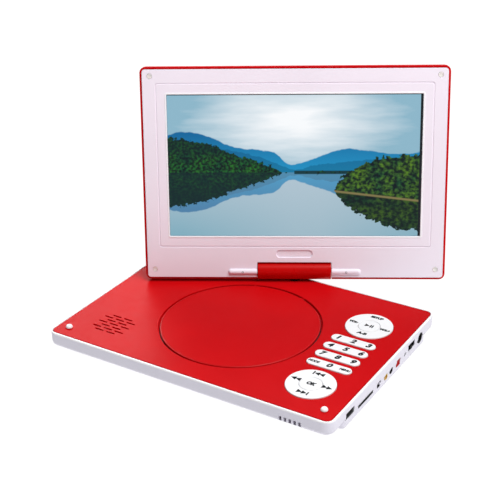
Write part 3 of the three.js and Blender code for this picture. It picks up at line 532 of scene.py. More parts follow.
# A brighter white for the lip round the picture: a painted highlight.
lip_painted_highlight_white = moulded("lip_painted_highlight_white", (0.97, 0.95, 0.98), 0.35, 0.1, gloss=0.3, variation=0.01)
key_white = moulded("key_white", (0.93, 0.93, 0.94), 0.42, 0.1, gloss=0.25, variation=0.01)
red_paint = moulded("red_paint", (0.57, 0.003, 0.005), 0.38, 0.1, gloss=0.035, variation=0.04)
red_gloss = moulded("red_gloss", (0.56, 0.002, 0.002), 0.3, 0.06, gloss=0.12, variation=0.04)
bead_red = moulded("bead_red", (0.58, 0.006, 0.008), 0.32, 0.03, gloss=0.22, variation=0.03)
rubber = moulded("rubber", (0.025, 0.025, 0.027), 0.8, 0.5, gloss=0.2, variation=0.2, sheen=0.2)
silicone = moulded("silicone", (0.82, 0.77, 0.74), 0.55, 0.2, gloss=0.2, light_through=0.2)
mat_silicone = moulded("mat_silicone", (0.7, 0.69, 0.66), 0.6, 0.25, gloss=0.2)
black = moulded("black_plastic", (0.004, 0.004, 0.005), 0.5, 0.3, gloss=0.08, variation=0.2)
grey = moulded("grey_plastic", (0.06, 0.06, 0.065), 0.5, 0.35, gloss=0.3, variation=0.1)
window_grey = moulded("window_grey", (0.1, 0.11, 0.12), 0.15, 0.05, gloss=0.5, variation=0.1)
socket_red = moulded("socket_red", (0.42, 0.003, 0.004), 0.4, 0.2, gloss=0.06)
socket_yellow = moulded("socket_yellow", (0.62, 0.3, 0.035), 0.35, 0.2, gloss=0.4)
label_film = moulded("label_film", (0.55, 0.55, 0.56), 0.5, 0.1, gloss=0.3, variation=0.04)
cone_paper = moulded("cone_paper", (0.015, 0.015, 0.016), 0.85, 0.9, gloss=0.1, variation=0.3)
steel = brushed_metal("steel", (0.62, 0.63, 0.65), 0.34, (1, 12, 12))
dark_steel = brushed_metal("dark_steel", (0.2, 0.2, 0.21), 0.4, (12, 1, 12))
gold = brushed_metal("gold", (0.83, 0.6, 0.2), 0.25, (1, 8, 8))
panel_metal = brushed_metal("panel_metal", (0.5, 0.51, 0.53), 0.42, (1, 1, 14))
board_green = circuit_board()
battery_film = battery_wrap()
lens = lens_glass()
picture = screen_picture()
print_black = ink("print_black", (0.003, 0.003, 0.004))
# Grey for the knuckle rings, which paint the shade of a dimple; it is not print.
dimple_shade_grey = ink("dimple_shade_grey", (0.2, 0.2, 0.22))

# ---------------------------------------------------------------- shapes


def circle(x, y, radius, steps=96):
    turn = 2 * math.pi / steps
    return [
        (x + radius * math.cos(i * turn), y + radius * math.sin(i * turn)) for i in range(steps)
    ]


def rounded_rectangle(x, y, width, height, corner, steps=8):
    points = []
    for quarter, (side_x, side_y) in enumerate([(1, 1), (-1, 1), (-1, -1), (1, -1)]):
        for step in range(steps + 1):
            angle = (quarter + step / steps) * math.pi / 2
            points.append((
                x + side_x * (width / 2 - corner) + corner * math.cos(angle),
                y + side_y * (height / 2 - corner) + corner * math.sin(angle),
            ))
    return points


def pill(x, y, length, width, steps=10):
    """A slot with round ends; the corner stays a hair under half, so no side vanishes."""
    return rounded_rectangle(x, y, length, width, min(length, width) / 2 - 0.01, steps)


def eased(points, radii, closed=True, steps=4):
    """The same outline with its corners softened, each by its own radius."""
    soft = []
    count = len(points)
    for i, (point, radius) in enumerate(zip(points, radii)):
        here = Vector(point)
        if radius == 0 or (not closed and i in (0, count - 1)):
            soft.append(tuple(here))
            continue
        before = Vector(points[i - 1])
        after = Vector(points[(i + 1) % count])
        start = here + (before - here).normalized() * radius
        end = here + (after - here).normalized() * radius
        for step in range(steps + 1):
            t = step / steps
            soft.append(tuple((1 - t) ** 2 * start + 2 * t * (1 - t) * here + t ** 2 * end))
    return soft


def finished(mesh, place=ROW, sharp=35):
    """Closes seams, shades smoothly up to an angle, and moves a shape to its place in metres."""
    shape = bmesh.new()
    shape.from_mesh(mesh)
    bmesh.ops.remove_doubles(shape, verts=shape.verts, dist=0.002)
    bmesh.ops.recalc_face_normals(shape, faces=shape.faces)
    shape.to_mesh(mesh)
    shape.free()
    mesh.transform(place)
    mesh.transform(Matrix.Scale(MM, 4))
    mesh.polygons.foreach_set("use_smooth", [True] * len(mesh.polygons))
    mesh.set_sharp_from_angle(angle=math.radians(sharp))
    return mesh


def plate(outlines, bottom, top, edge, steps=3):
    """A flat piece with rounded edges: the first outline is its edge and the rest are holes."""
    curve = bpy.data.curves.new("plate", "CURVE")
    curve.dimensions = "2D"
    curve.fill_mode = "BOTH"
    for outline in outlines:
        spline = curve.splines.new("POLY")
        spline.points.add(len(outline) - 1)
        for point, (x, y) in zip(spline.points, outline):
            point.co = (x, y, 0, 1)
        spline.use_cyclic_u = True
    curve.extrude = (top - bottom) / 2 - edge
    curve.bevel_depth = edge
    curve.bevel_resolution = steps
    curve.offset = -edge
    helper = add_to_scene(bpy.data.objects.new("plate", curve))
    depsgraph = bpy.context.evaluated_depsgraph_get()
    mesh = bpy.data.meshes.new_from_object(helper.evaluated_get(depsgraph), depsgraph=depsgraph)
    bpy.data.objects.remove(helper)
    mesh.transform(Matrix.Translation((0, 0, (top + bottom) / 2)))
    return mesh


def lathe(profile, closed=False, steps=96):
    """A turned shape about z: profile points are (radius, height)."""
    shape = bmesh.new()
    rings = []
    for radius, height in profile:
        if radius < 0.001:
            rings.append([shape.verts.new((0, 0, height))])
        else:
            rings.append([shape.verts.new((x, y, height)) for x, y in circle(0, 0, radius, steps)])
    pairs = list(zip(rings, rings[1:]))
    if closed:
        pairs.append((rings[-1], rings[0]))
    for low, high in pairs:
        for i in range(steps):
            after = (i + 1) % steps
            corners = [low[i % len(low)], low[after % len(low)]]
            corners += [high[after % len(high)], high[i % len(high)]]
            unique = list(dict.fromkeys(corners))
            if len(unique) > 2:
                shape.faces.new(unique)
    mesh = bpy.data.meshes.new("lathe")
    shape.to_mesh(mesh)
    shape.free()
    return mesh


def turned(points, radii=None, closed=False, steps=96):
    """A turned shape; each corner of its profile may be eased by its own radius."""
    radii = radii if radii is not None else [0] * len(points)
    return lathe(eased(points, radii, closed), closed, steps)


def ring(inner, outer, bottom, top, edges, steps):
    """A ring of square section; edges holds the radius of each of its edges, or is None."""
    corners = [(inner, bottom), (outer, bottom), (outer, top), (inner, top)]
    return turned(corners, edges, True, steps)


def moved(mesh, x=0, y=0, z=0):
    mesh.transform(Matrix.Translation((x, y, z)))
    return mesh


def together(*meshes):
    """One mesh that holds several closed shapes."""
    shape = bmesh.new()
    for mesh in meshes:
        shape.from_mesh(mesh)
    whole = bpy.data.meshes.new("whole")
    shape.to_mesh(whole)
    shape.free()
    return whole


def flat_print(polygons, height, thickness=0.04):
    """Ink lying on a face: thin flat prisms."""
    shape = bmesh.new()
    for polygon in polygons:
        face = shape.faces.new([shape.verts.new((x, y, height)) for x, y in polygon])
        raised = bmesh.ops.extrude_face_region(shape, geom=[face])
        verts = [item for item in raised["geom"] if isinstance(item, bmesh.types.BMVert)]
        bmesh.ops.translate(shape, verts=verts, vec=(0, 0, thickness))
    mesh = bpy.data.meshes.new("print")
    shape.to_mesh(mesh)
    shape.free()
    return mesh


def lettering(words, x, y, height, top, slant, weight, spread):
    """Generic key legends in the built-in font, as thin ink on a face at height top."""
    curve = bpy.data.curves.new("legend", "FONT")
    curve.body = words
    curve.align_x = "CENTER"
    curve.align_y = "CENTER"
    cap_height = 0.69
    curve.size = height / cap_height
    curve.shear = slant
    curve.bevel_depth = weight
    curve.bevel_resolution = 1
    helper = add_to_scene(bpy.data.objects.new("legend", curve))
    depsgraph = bpy.context.evaluated_depsgraph_get()
    mesh = bpy.data.meshes.new_from_object(helper.evaluated_get(depsgraph), depsgraph=depsgraph)
    bpy.data.objects.remove(helper)
    ink_thickness = 0.025
    mesh.transform(Matrix.Diagonal((spread, 1, ink_thickness / weight, 1)))
    return moved(mesh, x, y, top + 0.02)


def add_piece(name, mesh, look, body, slot, *replaced, edge=0):
    """Puts a finished mesh in the scene as a named piece, in place of any CAD nodes named."""
    mesh.materials.clear()
    mesh.materials.append(look)
    piece = add_to_scene(bpy.data.objects.new(name, mesh))
    if edge:
        soften = piece.modifiers.new("edges", "BEVEL")
        soften.width = edge * MM
        soften.segments = 2
        soften.limit_method = "ANGLE"
        soften.angle_limit = math.radians(32)
    even = piece.modifiers.new("even_shading", "WEIGHTED_NORMAL")
    even.keep_sharp = True
    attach(piece, body)
    if replaced:
        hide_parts(*replaced)


def refined(node, look, body, slot, edge=0.2, sharp=35):
    """A CAD node's own shape, welded and given small rounded edges."""
    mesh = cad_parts[node].data.copy()
    shape = bmesh.new()
    shape.from_mesh(mesh)
    bmesh.ops.remove_doubles(shape, verts=shape.verts, dist=0.000002)
    bmesh.ops.dissolve_limit(
        shape, angle_limit=math.radians(0.6), verts=shape.verts, edges=shape.edges,
    )
    shape.to_mesh(mesh)
    shape.free()
    if "custom_normal" in mesh.attributes:
        mesh.attributes.remove(mesh.attributes["custom_normal"])
    mesh.polygons.foreach_set("use_smooth", [True] * len(mesh.polygons))
    mesh.set_sharp_from_angle(angle=math.radians(sharp))
    add_piece(f"{node}_shape", mesh, look, body, slot, node, edge=edge)


# ---------------------------------------------------------------- player body

add_camera()
add_studio()

STRIPS = [f"number_strip_{i}" for i in range(1, 5)]
PAD_RINGS = ["rear_pad_ring", "front_pad_ring"]
BUFFERS = ["buffer_left", "buffer_right"]
PLUGS = [f"screw_plug_{i}" for i in range(1, 5)]


def grown_pill(node, growth):
    """A slot round a CAD node's own plan, larger by the same growth all round."""
    low, high = extent(node)
    centre = (low + high) / 2
    size = high - low
    return pill(centre.x, centre.y, size.x + 2 * growth, size.y + 2 * growth)


def circle_about(node, radius, steps=96, place=ROW):
    """A circle round the middle of a CAD node."""
    centre = middle(node, place)
    return circle(centre.x, centre.y, radius, steps)


def grille_outlines():
    """Short slots laid like bricks: rows of two and three by turns."""
    centre = middle("speaker_frame")
    rows = 7
    pitch_x = 11.2
    pitch_y = 4
    dash = 8.5
    slot = 1.3
    slots = []
    for row in range(rows):
        count = 2 + row % 2
        for i in range(count):
            x = centre.x + (i - (count - 1) / 2) * pitch_x
            y = centre.y + ((rows - 1) / 2 - row) * pitch_y
            slots.append(pill(x, y, dash, slot, 6))
    return slots


def cover_plate():
    """The red top plate with its openings, and the disc bay's skirt and inner ledge."""
    low, high = extent("top_cover")
    bay_y = middle("disc_lid").y
    pad_hole = 19.9
    peg_hole = 1.5
    neck_hole = 3.5
    width = high.x - low.x - 2 * SEAM
    depth = high.y - low.y - 2 * SEAM
    top = plate(
        [
            rounded_rectangle(0, 0, width, depth, 5, 10),
            circle(0, bay_y, BAY_RADIUS, ROUND_SIDES),
            *[grown_pill(node, SEAM) for node in STRIPS],
            *[circle_about(node, pad_hole) for node in PAD_RINGS],
            *[circle_about(node, peg_hole, 24) for node in BUFFERS],
            circle(0, TILT_AXIS.y, neck_hole, 32),
            *grille_outlines(),
        ],
        COVER_BOTTOM, high.z, 0.35,
    )
    joint = COVER_BOTTOM + 0.1
    skirt_radius = 68.8
    skirt = ring(BAY_RADIUS, skirt_radius, low.z, joint, None, ROUND_SIDES)
    ledge_inner = 66.6
    ledge_outer = 68.2
    ledge_bottom = joint - 0.7
    ledge = ring(ledge_inner, ledge_outer, ledge_bottom, joint, [0.1] * 4, ROUND_SIDES)
    mesh = finished(together(top, moved(skirt, 0, bay_y), moved(ledge, 0, bay_y)))
    add_piece("cover_plate", mesh, red_paint, "player_body", "red_plastic", "top_cover")


def round_feet():
    """Rubber feet with a shallow dish in the sole."""
    for i in range(1, 5):
        node = f"rubber_foot_{i}"
        low, high = extent(node)
        centre = middle(node)
        radius = 6
        dish = low.z + 0.25
        profile = [
            (0, dish), (3.4, dish), (3.9, low.z), (5.2, low.z),
            (radius, low.z + 0.9), (radius, high.z), (0, high.z),
        ]
        mesh = turned(profile, [0, 0.2, 0.2, 0.4, 0.4, 0.2, 0])
        mesh = finished(moved(mesh, centre.x, centre.y), sharp=50)
        add_piece(f"foot_{i}", mesh, rubber, "player_body", "rubber", node)


def buffer_domes():
    """The two white domes that the closed screen rests on."""
    stem = 1.2
    head = 2.85
    seat = 19.3
    for node in BUFFERS:
        low, high = extent(node)
        centre = middle(node)
        profile = [
            (0, low.z), (stem, low.z), (stem, seat), (head, seat), (head, seat + 0.6),
            (2.1, high.z), (0, high.z),
        ]
        mesh = turned(profile, [0, 0.1, 0.2, 0.2, 0.4, 0.9, 0], steps=48)
        mesh = finished(moved(mesh, centre.x, centre.y), sharp=60)
        add_piece(node.replace("_", "_dome_"), mesh, key_white, "player_body", "white_plastic", node)


def cross_hole(a, b):
    """A cross-shaped hole with arms of half length a and half width b."""
    return [
        (a, b), (b, b), (b, a), (-b, a), (-b, b), (-a, b),
        (-a, -b), (-b, -b), (-b, -a), (b, -a), (b, -b), (a, -b),
    ]


def screw_heads():
    """Cross-head case screws in the five wells of the underside."""
    wells = [(-104, -84), (0, -84), (104, -84), (-104, 84), (104, 84)]
    head_bottom = 6.15
    head_top = 6.75
    for i, (x, y) in enumerate(wells):
        rim = circle(0, 0, 2.1, SMALL_SIDES)
        head = plate([rim, cross_hole(1.1, 0.32)], head_bottom, head_top, 0.12, 1)
        bore = circle(0, 0, 1.9, SMALL_SIDES)
        seat = plate([bore], head_top - 0.05, head_top + 0.35, 0.05, 1)
        mesh = finished(moved(together(head, seat), x, y))
        add_piece(f"case_screw_{i + 1}", mesh, dark_steel, "player_body", "steel")


def blank_label():
    """A plain rating label: a thin film with nothing printed on it."""
    centre_y = 45
    width = 46
    depth = 30
    film = plate([rounded_rectangle(0, centre_y, width, depth, 2)], -0.12, 0.02, 0.03, 1)
    add_piece("rating_label", finished(film), label_film, "player_body", "grey_plastic")


refined("bottom_case", case_shell, "player_body", "white_plastic", 0.22, 32)
cover_plate()
round_feet()
buffer_domes()
screw_heads()
blank_label()
refined("battery_cover", case_white, "player_body", "white_plastic", 0.25)

# ---------------------------------------------------------------- disc drive


def lid_disc():
    """The red lid with its ribs and hinge pins, and the glossy bead round its rim."""
    high = extent("disc_lid")[1]
    centre_y = middle("disc_lid").y
    radius = 65.3
    bottom = high.z - 1.8
    boss = bottom - 0.9
    inner_rib = bottom - 0.8
    outer_rib = bottom - 0.6
    profile = [
        (0, boss), (5, boss), (6.5, bottom), (14, bottom), (14, inner_rib),
        (16, inner_rib), (16, bottom), (61, bottom), (61, outer_rib), (63, outer_rib),
        (63, bottom), (radius, bottom), (radius, high.z), (0, high.z),
    ]
    radii = [0, 0.3, 0.3, 0.2, 0.2, 0.2, 0.2, 0.2, 0.2, 0.2, 0.2, 0.2, 0.1, 0]
    disc = moved(turned(profile, radii, steps=ROUND_SIDES), 0, centre_y)
    pins = []
    pin_radius = 0.55
    pin_length = 5.2
    pin_start = 20
    hinge_y = 58.5
    for x in (-pin_start - pin_length, pin_start):
        pin = turned(
            [(0, 0), (pin_radius, 0), (pin_radius, pin_length), (0, pin_length)],
            [0, 0.15, 0.15, 0], steps=24,
        )
        pin.transform(ALONG_X)
        pins.append(moved(pin, x, hinge_y, high.z - 0.9))
    mesh = finished(together(disc, *pins), sharp=40)
    add_piece("lid_disc", mesh, red_paint, "disc_lid", "red_plastic", "disc_lid")
    bead_edges = [0.1, 0.3, 0.9, 0.1]
    bead = ring(radius - 0.4, LID_RADIUS, bottom, high.z, bead_edges, ROUND_SIDES)
    bead = finished(moved(bead, 0, centre_y), sharp=60)
    add_piece("lid_bead", bead, bead_red, "disc_lid", "red_plastic")


def hub_clamp():
    """The spindle hub, with three sprung balls that hold a disc."""
    low, high = extent("disc_hub")
    centre_y = middle("disc_hub").y
    table = 12.2  # the height that a disc lies at
    groove = table - 0.15
    dimple = high.z - 0.8
    profile = [
        (0, low.z), (1, low.z), (1, 9.4), (6, 9.4), (6, 11), (13, 11), (13, table), (12, table),
        (12, groove), (8.2, groove), (8.2, table), (7.3, table), (7.3, 13.4),
        (6.2, high.z), (2.2, high.z), (2.2, dimple), (0, dimple),
    ]
    radii = [0, 0.1, 0.1, 0.2, 0.2, 0.2, 0.2, 0.1, 0.05, 0.05, 0.1, 0.1, 0.5, 0.4, 0.2, 0.1, 0]
    mesh = finished(moved(turned(profile, radii, steps=72), 0, centre_y))
    add_piece("hub_clamp", mesh, black, "disc_hub", "black_plastic", "disc_hub")
    ball_profile = [(0, -1), (0.72, -0.7), (1, 0), (0.72, 0.7), (0, 1)]
    balls = circle(0, centre_y, 6.85, 3)
    for i, (x, y) in enumerate(balls):
        ball = turned(ball_profile, [0, 0.3, 0.4, 0.3, 0], steps=24)
        ball = moved(ball, x, y, 13.3)
        add_piece(f"hub_ball_{i + 1}", finished(ball, sharp=80), steel, "disc_hub", "steel")


def pickup_lens():
    """The domed lens and the black ring that holds it."""
    low, high = extent("pickup_lens")
    centre = middle("pickup_lens")
    holder = ring(2.3, 3.1, low.z - 0.2, low.z + 0.5, [0.1] * 4, 48)
    holder = finished(moved(holder, centre.x, centre.y))
    add_piece("lens_ring", holder, black, "pickup", "black_plastic")
    dome = turned(
        [(0, low.z), (2.25, low.z), (2.25, low.z + 0.3), (0, high.z)], [0, 0.05, 0.15, 0], steps=48,
    )
    dome = finished(moved(dome, centre.x, centre.y), sharp=60)
    add_piece("lens_dome", dome, lens, "pickup", "lens_glass", "pickup_lens")


lid_disc()
hub_clamp()
pickup_lens()
refined("disc_tray", grey, "player_body", "grey_plastic", 0.2, 32)
refined("spindle_motor", steel, "player_body", "steel", 0.25)
refined("pickup_sled", black, "pickup", "black_plastic", 0.25)
for rod in ("guide_rod_left", "guide_rod_right"):
    refined(rod, steel, "player_body", "steel", 0.15, 50)
refined("lead_screw", steel, "lead_screw", "steel", 0.15, 50)
refined("sled_motor", steel, "player_body", "steel", 0.2, 50)
refined("latch_plunger", black, "latch_plunger", "black_plastic", 0.3)

# ---------------------------------------------------------------- boards, battery and speaker

for board in ("main_board", "keypad_board"):
    refined(board, board_green, "player_body", "circuit_board", 0)
refined("keypad_mat", mat_silicone, "player_body", "silicone", 0.15)
refined("battery_pack", battery_film, "player_body", "battery_wrap", 1.2)
refined("speaker_frame", dark_steel, "player_body", "steel", 0.1, 40)
refined("speaker_cone", cone_paper, "player_body", "black_plastic", 0, 50)

# ---------------------------------------------------------------- keys and their legends


def raised_key(node, outlines, edge):
    """A white key between its CAD node's own heights."""
    low, high = extent(node)
    mesh = finished(plate(outlines, low.z, high.z, edge, 4), sharp=50)
    add_piece(f"{node}_key", mesh, key_white, node, "white_plastic", node)


def keys():
    """The four number strips, and the ring and button of both pads."""
    for node in STRIPS:
        raised_key(node, [grown_pill(node, 0)], 0.6)
    for node in PAD_RINGS:
        raised_key(node, [circle_about(node, 19.6, 128), circle_about(node, 9.15)], 0.5)
        raised_key(node.replace("ring", "button"), [circle_about(node, 8.8)], 0.5)


def triangle(x, y, half, direction):
    reach = direction * half
    return [(x - reach, y - half), (x + reach, y), (x - reach, y + half)]


def upright_bar(x, y, half_width, half_height):
    return [
        (x - half_width, y - half_height), (x + half_width, y - half_height),
        (x + half_width, y + half_height), (x - half_width, y + half_height),
    ]


def double_arrow(x, y, direction, with_bar):
    """Two arrowheads in a row; a bar after them makes the mark for skipping."""
    half = 2.25
    shapes = [triangle(x - 2, y, half, direction), triangle(x + 2, y, half, direction)]
    if with_bar:
        shapes.append(upright_bar(x + direction * 4.7, y, 0.55, half))
    return shapes


def strip_legends(top):
    """Three digits on each strip, but two words and a zero on the last."""
    column_pitch = 13.4
    slant = 0.2
    rows = [["1", "2", "3"], ["4", "5", "6"], ["7", "8", "9"], ["MODE", "0", "MENU"]]
    for node, words in zip(STRIPS, rows):
        y = middle(node).y
        marks = []
        for column, word in enumerate(words):
            x = KEY_X + (column - 1) * column_pitch
            is_digit = len(word) == 1
            height, weight, spread = (4.9, 0.42, 1.1) if is_digit else (2.3, 0.25, 0.95)
            marks.append(lettering(word, x, y, height, top, slant, weight, spread))
        mesh = finished(together(*marks))
        add_piece(f"{node}_legend", mesh, print_black, node, "black_plastic")


def pad_legends(side, marks, centre):
    """The printed marks of one pad, on its ring and on its button."""
    slot = "black_plastic"
    ring_marks = finished(together(*marks))
    add_piece(f"{side}_pad_marks", ring_marks, print_black, f"{side}_pad_ring", slot)
    add_piece(f"{side}_button_mark", finished(centre), print_black, f"{side}_pad_button", slot)


def rear_pad_legends(top):
    """Function words round the ring; play and pause on the button."""
    centre = middle("rear_pad_ring")
    x, y = centre.x, centre.y
    slant = 0.15
    weight = 0.34
    # word, place beside and above the centre, height, spread
    words = [
        ("SETUP", 0, 14.6, 2.5, 1.05),
        ("VOL-", -14, 0.2, 2.4, 1.0),
        ("VOL+", 14, -0.2, 2.4, 1.0),
        ("A-B", 0, -13.4, 2.7, 1.25),
    ]
    marks = [
        lettering(word, x + aside, y + above, height, top, slant, weight, spread)
        for word, aside, above, height, spread in words
    ]
    half = 2
    play = [
        triangle(x - 1.5, y, half, 1),
        upright_bar(x + 1.4, y, 0.6, half),
        upright_bar(x + 3.1, y, 0.6, half),
    ]
    pad_legends("rear", marks, flat_print(play, top))


def front_pad_legends(top):
    """Transport marks round the ring; OK on the button."""
    centre = middle("front_pad_ring")
    x, y = centre.x, centre.y
    arrows = [
        *double_arrow(x - 0.4, y + 14.6, -1, True),
        *double_arrow(x - 13.4, y + 1, -1, False),
        *double_arrow(x + 13.4, y + 1, 1, False),
        *double_arrow(x - 0.3, y - 13.2, 1, True),
    ]
    word = lettering("OK", x, y, 3.5, top, 0.15, 0.4, 0.9)
    pad_legends("front", [flat_print(arrows, top)], word)


def key_legends():
    """Digits, transport marks and plain function words on the keys."""
    top = extent("number_strip_1")[1].z
    strip_legends(top)
    rear_pad_legends(top)
    front_pad_legends(top)


keys()
key_legends()

# ---------------------------------------------------------------- sockets in the right wall


def usb_port():
    """Pressed steel shell, black tongue and four gilt contacts."""
    low, high = extent("usb_socket", RIGHT_WALL)
    centre = middle("usb_socket", RIGHT_WALL)
    width, height = high.x - low.x, high.y - low.y
    skin = 0.4
    outer = rounded_rectangle(centre.x, centre.y, width, height, 0.5, 3)
    inner = rounded_rectangle(centre.x, centre.y, width - 2 * skin, height - 2 * skin, 0.3, 3)
    shell = finished(plate([outer, inner], low.z, high.z, 0.12, 1), RIGHT_WALL)
    add_piece("usb_shell", shell, steel, "player_body", "steel", "usb_socket")
    back = finished(plate([inner], low.z + 0.3, low.z + 1.5, 0.1, 1), RIGHT_WALL)
    add_piece("usb_back", back, black, "player_body", "black_plastic")
    tongue_y = centre.y + 1.05
    tongue = rounded_rectangle(centre.x, tongue_y, 11.2, 1.7, 0.2, 2)
    mesh = finished(plate([tongue], low.z + 1, high.z - 1.2, 0.15, 1), RIGHT_WALL)
    add_piece("usb_tongue", mesh, black, "player_body", "black_plastic")
    contact_pitch = 2.2
    contacts = []
    for i in range(4):
        x = centre.x + (i - 1.5) * contact_pitch
        contact = rounded_rectangle(x, tongue_y - 0.9, 1.1, 0.16, 0.05, 1)
        contacts.append(plate([contact], low.z + 2, high.z - 2, 0.03, 1))
    mesh = finished(together(*contacts), RIGHT_WALL)
    add_piece("usb_contacts", mesh, gold, "player_body", "steel")


def gilt_ring(node):
    """The gilt contact ring at the mouth of a round jack."""
    high = extent(node, RIGHT_WALL)[1]
    centre_x = middle(node, RIGHT_WALL).x
    centre_y = high.y - 3.2
    contact = ring(1.75, 2.45, 0, 0.35, [0.1] * 4, SMALL_SIDES)
    contact = finished(moved(contact, centre_x, centre_y, high.z - 0.05), RIGHT_WALL)
    add_piece(f"{node}_ring", contact, gold, "player_body", "steel")


refined("dc_jack", black, "player_body", "black_plastic", 0.2, 40)
refined("power_switch_body", black, "player_body", "black_plastic", 0.15)
refined("power_switch_slider", black, "power_switch_slider", "black_plastic", 0.2)
refined("infrared_window", window_grey, "player_body", "grey_plastic", 0.35)
refined("red_jack", socket_red, "player_body", "red_jack", 0.2)
refined("black_jack", black, "player_body", "black_plastic", 0.15, 40)
refined("yellow_jack", socket_yellow, "player_body", "yellow_jack", 0.15, 40)
gilt_ring("yellow_jack")
refined("av_switch_body", black, "player_body", "black_plastic", 0.15)
refined("av_switch_slider", case_white, "av_switch_slider", "white_plastic", 0.25)
refined("card_socket", dark_steel, "player_body", "steel", 0.1)
usb_port()

# ---------------------------------------------------------------- neck and hinge barrel


def neck_collar():
    """The black swivel collar: a waist under a flange, and a slim shaft into the barrel."""
    low, high = extent("swivel_post")
    waist_bottom = 13.1
    waist_top = 19.3
    flange_top = 20.4
    profile = [
        (0, low.z), (4.2, low.z), (4.2, waist_bottom), (3.2, waist_bottom), (3.2, waist_top),
        (5.2, waist_top), (5.2, flange_top), (1.9, flange_top), (1.9, high.z), (0, high.z),
    ]
    radii = [0, 0.2, 0.2, 0.1, 0.1, 0.2, 0.2, 0.1, 0.2, 0]
    mesh = finished(moved(turned(profile, radii, steps=64), TILT_AXIS.x, TILT_AXIS.y))
    add_piece("neck_collar", mesh, black, "swivel_neck", "black_plastic", "swivel_post")


def barrel_sleeve():
    """The red barrel, with a bore in each end for the tilt shafts."""
    high = extent("hinge_barrel", NECK)[1]
    half = high.x
    radius = high.y
    bore = 2.5
    bore_floor = half - 14
    profile = [
        (bore, -bore_floor), (bore, -half), (radius, -half),
        (radius, half), (bore, half), (bore, bore_floor),
    ]
    sleeve = turned(profile, [0, 0.2, 0.6, 0.6, 0.2, 0], steps=96)
    sleeve.transform(ALONG_X)
    mesh = finished(sleeve, NECK, 40)
    add_piece("barrel_sleeve", mesh, red_gloss, "swivel_neck", "red_plastic", "hinge_barrel")


neck_collar()
barrel_sleeve()
for shaft in ("tilt_shaft_left", "tilt_shaft_right"):
    refined(shaft, steel, "swivel_neck", "steel", 0.2, 50)
refined("swivel_bracket", steel, "player_body", "steel", 0.2)

# ---------------------------------------------------------------- screen half


def with_notch(left, right, bottom, top, corner):
    """The bezel's outline: a rounded rectangle with a square notch for the barrel."""
    points = [
        (left, bottom), (-NOTCH_HALF, bottom), (-NOTCH_HALF, NOTCH_TOP), (NOTCH_HALF, NOTCH_TOP),
        (NOTCH_HALF, bottom), (right, bottom), (right, top), (left, top),
    ]
    return eased(points, [corner, 0.3, 0.5, 0.5, 0.3, corner, corner, corner], steps=8)


def bezel_frame():
    """The white front frame: two raised rings with a fine groove between them, a finger
    recess, and the two rounded hinge knuckles."""
    low, high = extent("bezel", SCREEN)
    glass_low, glass_high = extent("lcd_screen", SCREEN)
    window_y = middle("lcd_screen", SCREEN).y
    window_width = glass_high.x - glass_low.x + 2 * SEAM
    window_height = glass_high.y - glass_low.y + 2 * SEAM
    window = rounded_rectangle(0, window_y, window_width, window_height, 0.8, 3)
    outer = with_notch(low.x, high.x, low.y, high.y, 2.9)
    groove_y = 93.25
    groove_width = 234
    groove_height = 141.5
    bank = 0.9

    def about_groove(growth, corner):
        return rounded_rectangle(
            0, groove_y, groove_width + growth, groove_height + growth, corner,
        )

    groove_out = about_groove(bank, 2.4)
    groove_in = about_groove(-bank, 1.6)
    finger = pill(0, 16, 31.4, 6.6)
    plugs = [circle_about(node, 2.3, SMALL_SIDES, SCREEN) for node in PLUGS]
    floor_level = FACE - 0.95
    groove_floor = FACE - 0.4
    layers = [
        plate([outer, window, *plugs], low.z, floor_level, 0.1, 1),
        plate([outer, groove_out, finger, *plugs], floor_level - 0.3, FACE, 0.3, 4),
        plate([groove_in, window], floor_level - 0.3, FACE, 0.3, 4),
        plate([about_groove(2, 5), about_groove(-2, 3)], low.z + 0.2, groove_floor, 0.05, 1),
    ]
    length = KNUCKLE_END - NOTCH_HALF
    for side in (-1, 1):
        knuckle = turned(
            [(0, 0), (KNUCKLE_RADIUS, 0), (KNUCKLE_RADIUS, length), (0, length)],
            [0, 0.3, 2.4, 0], steps=SMALL_SIDES,
        )
        knuckle.transform(Matrix.Rotation(side * math.radians(90), 4, "Y"))
        layers.append(moved(knuckle, side * NOTCH_HALF, 0, KNUCKLE_AXIS))
    mesh = finished(together(*layers), SCREEN)
    add_piece("bezel_frame", mesh, bezel_white_painted_red_bounce, "screen_half", "white_plastic", "bezel")


def window_lip():
    """A slim lip round the picture, coloured a brighter white than the bezel as a painted highlight."""
    low, high = extent("lcd_screen", SCREEN)
    centre_y = middle("lcd_screen", SCREEN).y
    width = high.x - low.x
    height = high.y - low.y
    outer_growth = 3.4
    inner_growth = 0.5
    outer = rounded_rectangle(0, centre_y, width + outer_growth, height + outer_growth, 1.6, 4)
    inner = rounded_rectangle(0, centre_y, width + inner_growth, height + inner_growth, 0.5, 3)
    mesh = finished(plate([outer, inner], FACE - 0.5, FACE + 0.3, 0.38, 4), SCREEN)
    add_piece("window_lip", mesh, lip_painted_highlight_white, "screen_half", "white_plastic")


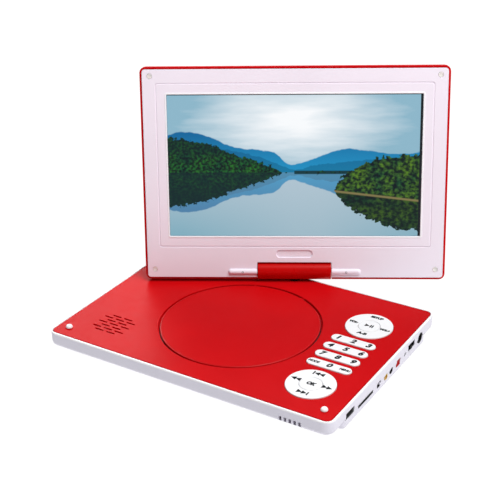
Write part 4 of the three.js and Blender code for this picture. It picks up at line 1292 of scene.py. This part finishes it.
def knuckle_dimple_shades():
    """A small grey ring on the front of each knuckle, painted as the shade of a moulded dimple."""
    height = KNUCKLE_AXIS + 2.58
    for name, x in (("left", -45), ("right", 45)):
        mark = ring(0.5, 0.95, 0, 0.16, [0.05] * 4, 32)
        mesh = finished(moved(mark, x, 0, height), SCREEN)
        add_piece(f"knuckle_dimple_shade_{name}", mesh, dimple_shade_grey, "screen_half", "white_plastic")


def corner_plugs():
    """Soft plugs in the bezel, each with a shallow dish."""
    radius = 2.15
    for node in PLUGS:
        low, high = extent(node, SCREEN)
        centre = middle(node, SCREEN)
        dish = high.z - 0.25
        profile = [
            (0, low.z), (radius, low.z), (radius, high.z), (1.5, high.z), (1.2, dish), (0, dish),
        ]
        mesh = turned(profile, [0, 0.1, 0.3, 0.2, 0.2, 0], steps=SMALL_SIDES)
        mesh = finished(moved(mesh, centre.x, centre.y), SCREEN, 50)
        name = node.replace("screw_", "")
        add_piece(name, mesh, silicone, "screen_half", "silicone", node)


def picture_sheet():
    """The lit panel behind its film; u and v run over the front face."""
    low, high = extent("lcd_screen", SCREEN)
    width, height = high.x - low.x, high.y - low.y
    centre = middle("lcd_screen", SCREEN)
    outline = rounded_rectangle(centre.x, centre.y, width, height, 0.5, 3)
    mesh = plate([outline], low.z, high.z, 0.08, 1)
    while mesh.uv_layers:
        mesh.uv_layers.remove(mesh.uv_layers[0])
    layer = mesh.uv_layers.new(name="picture")
    for loop in mesh.loops:
        point = mesh.vertices[loop.vertex_index].co
        layer.data[loop.index].uv = ((point.x - low.x) / width, (point.y - low.y) / height)
    mesh = finished(mesh, SCREEN)
    add_piece("picture_sheet", mesh, picture, "screen_half", "screen_glass", "lcd_screen")


refined("back_shell", red_paint, "screen_half", "red_plastic", 0.2, 32)
bezel_frame()
window_lip()
knuckle_dimple_shades()
corner_plugs()
picture_sheet()
refined("lcd_panel", panel_metal, "screen_half", "panel_back", 0.3)
for bracket in ("hinge_bracket_left", "hinge_bracket_right"):
    refined(bracket, steel, "screen_half", "steel", 0.2, 40)
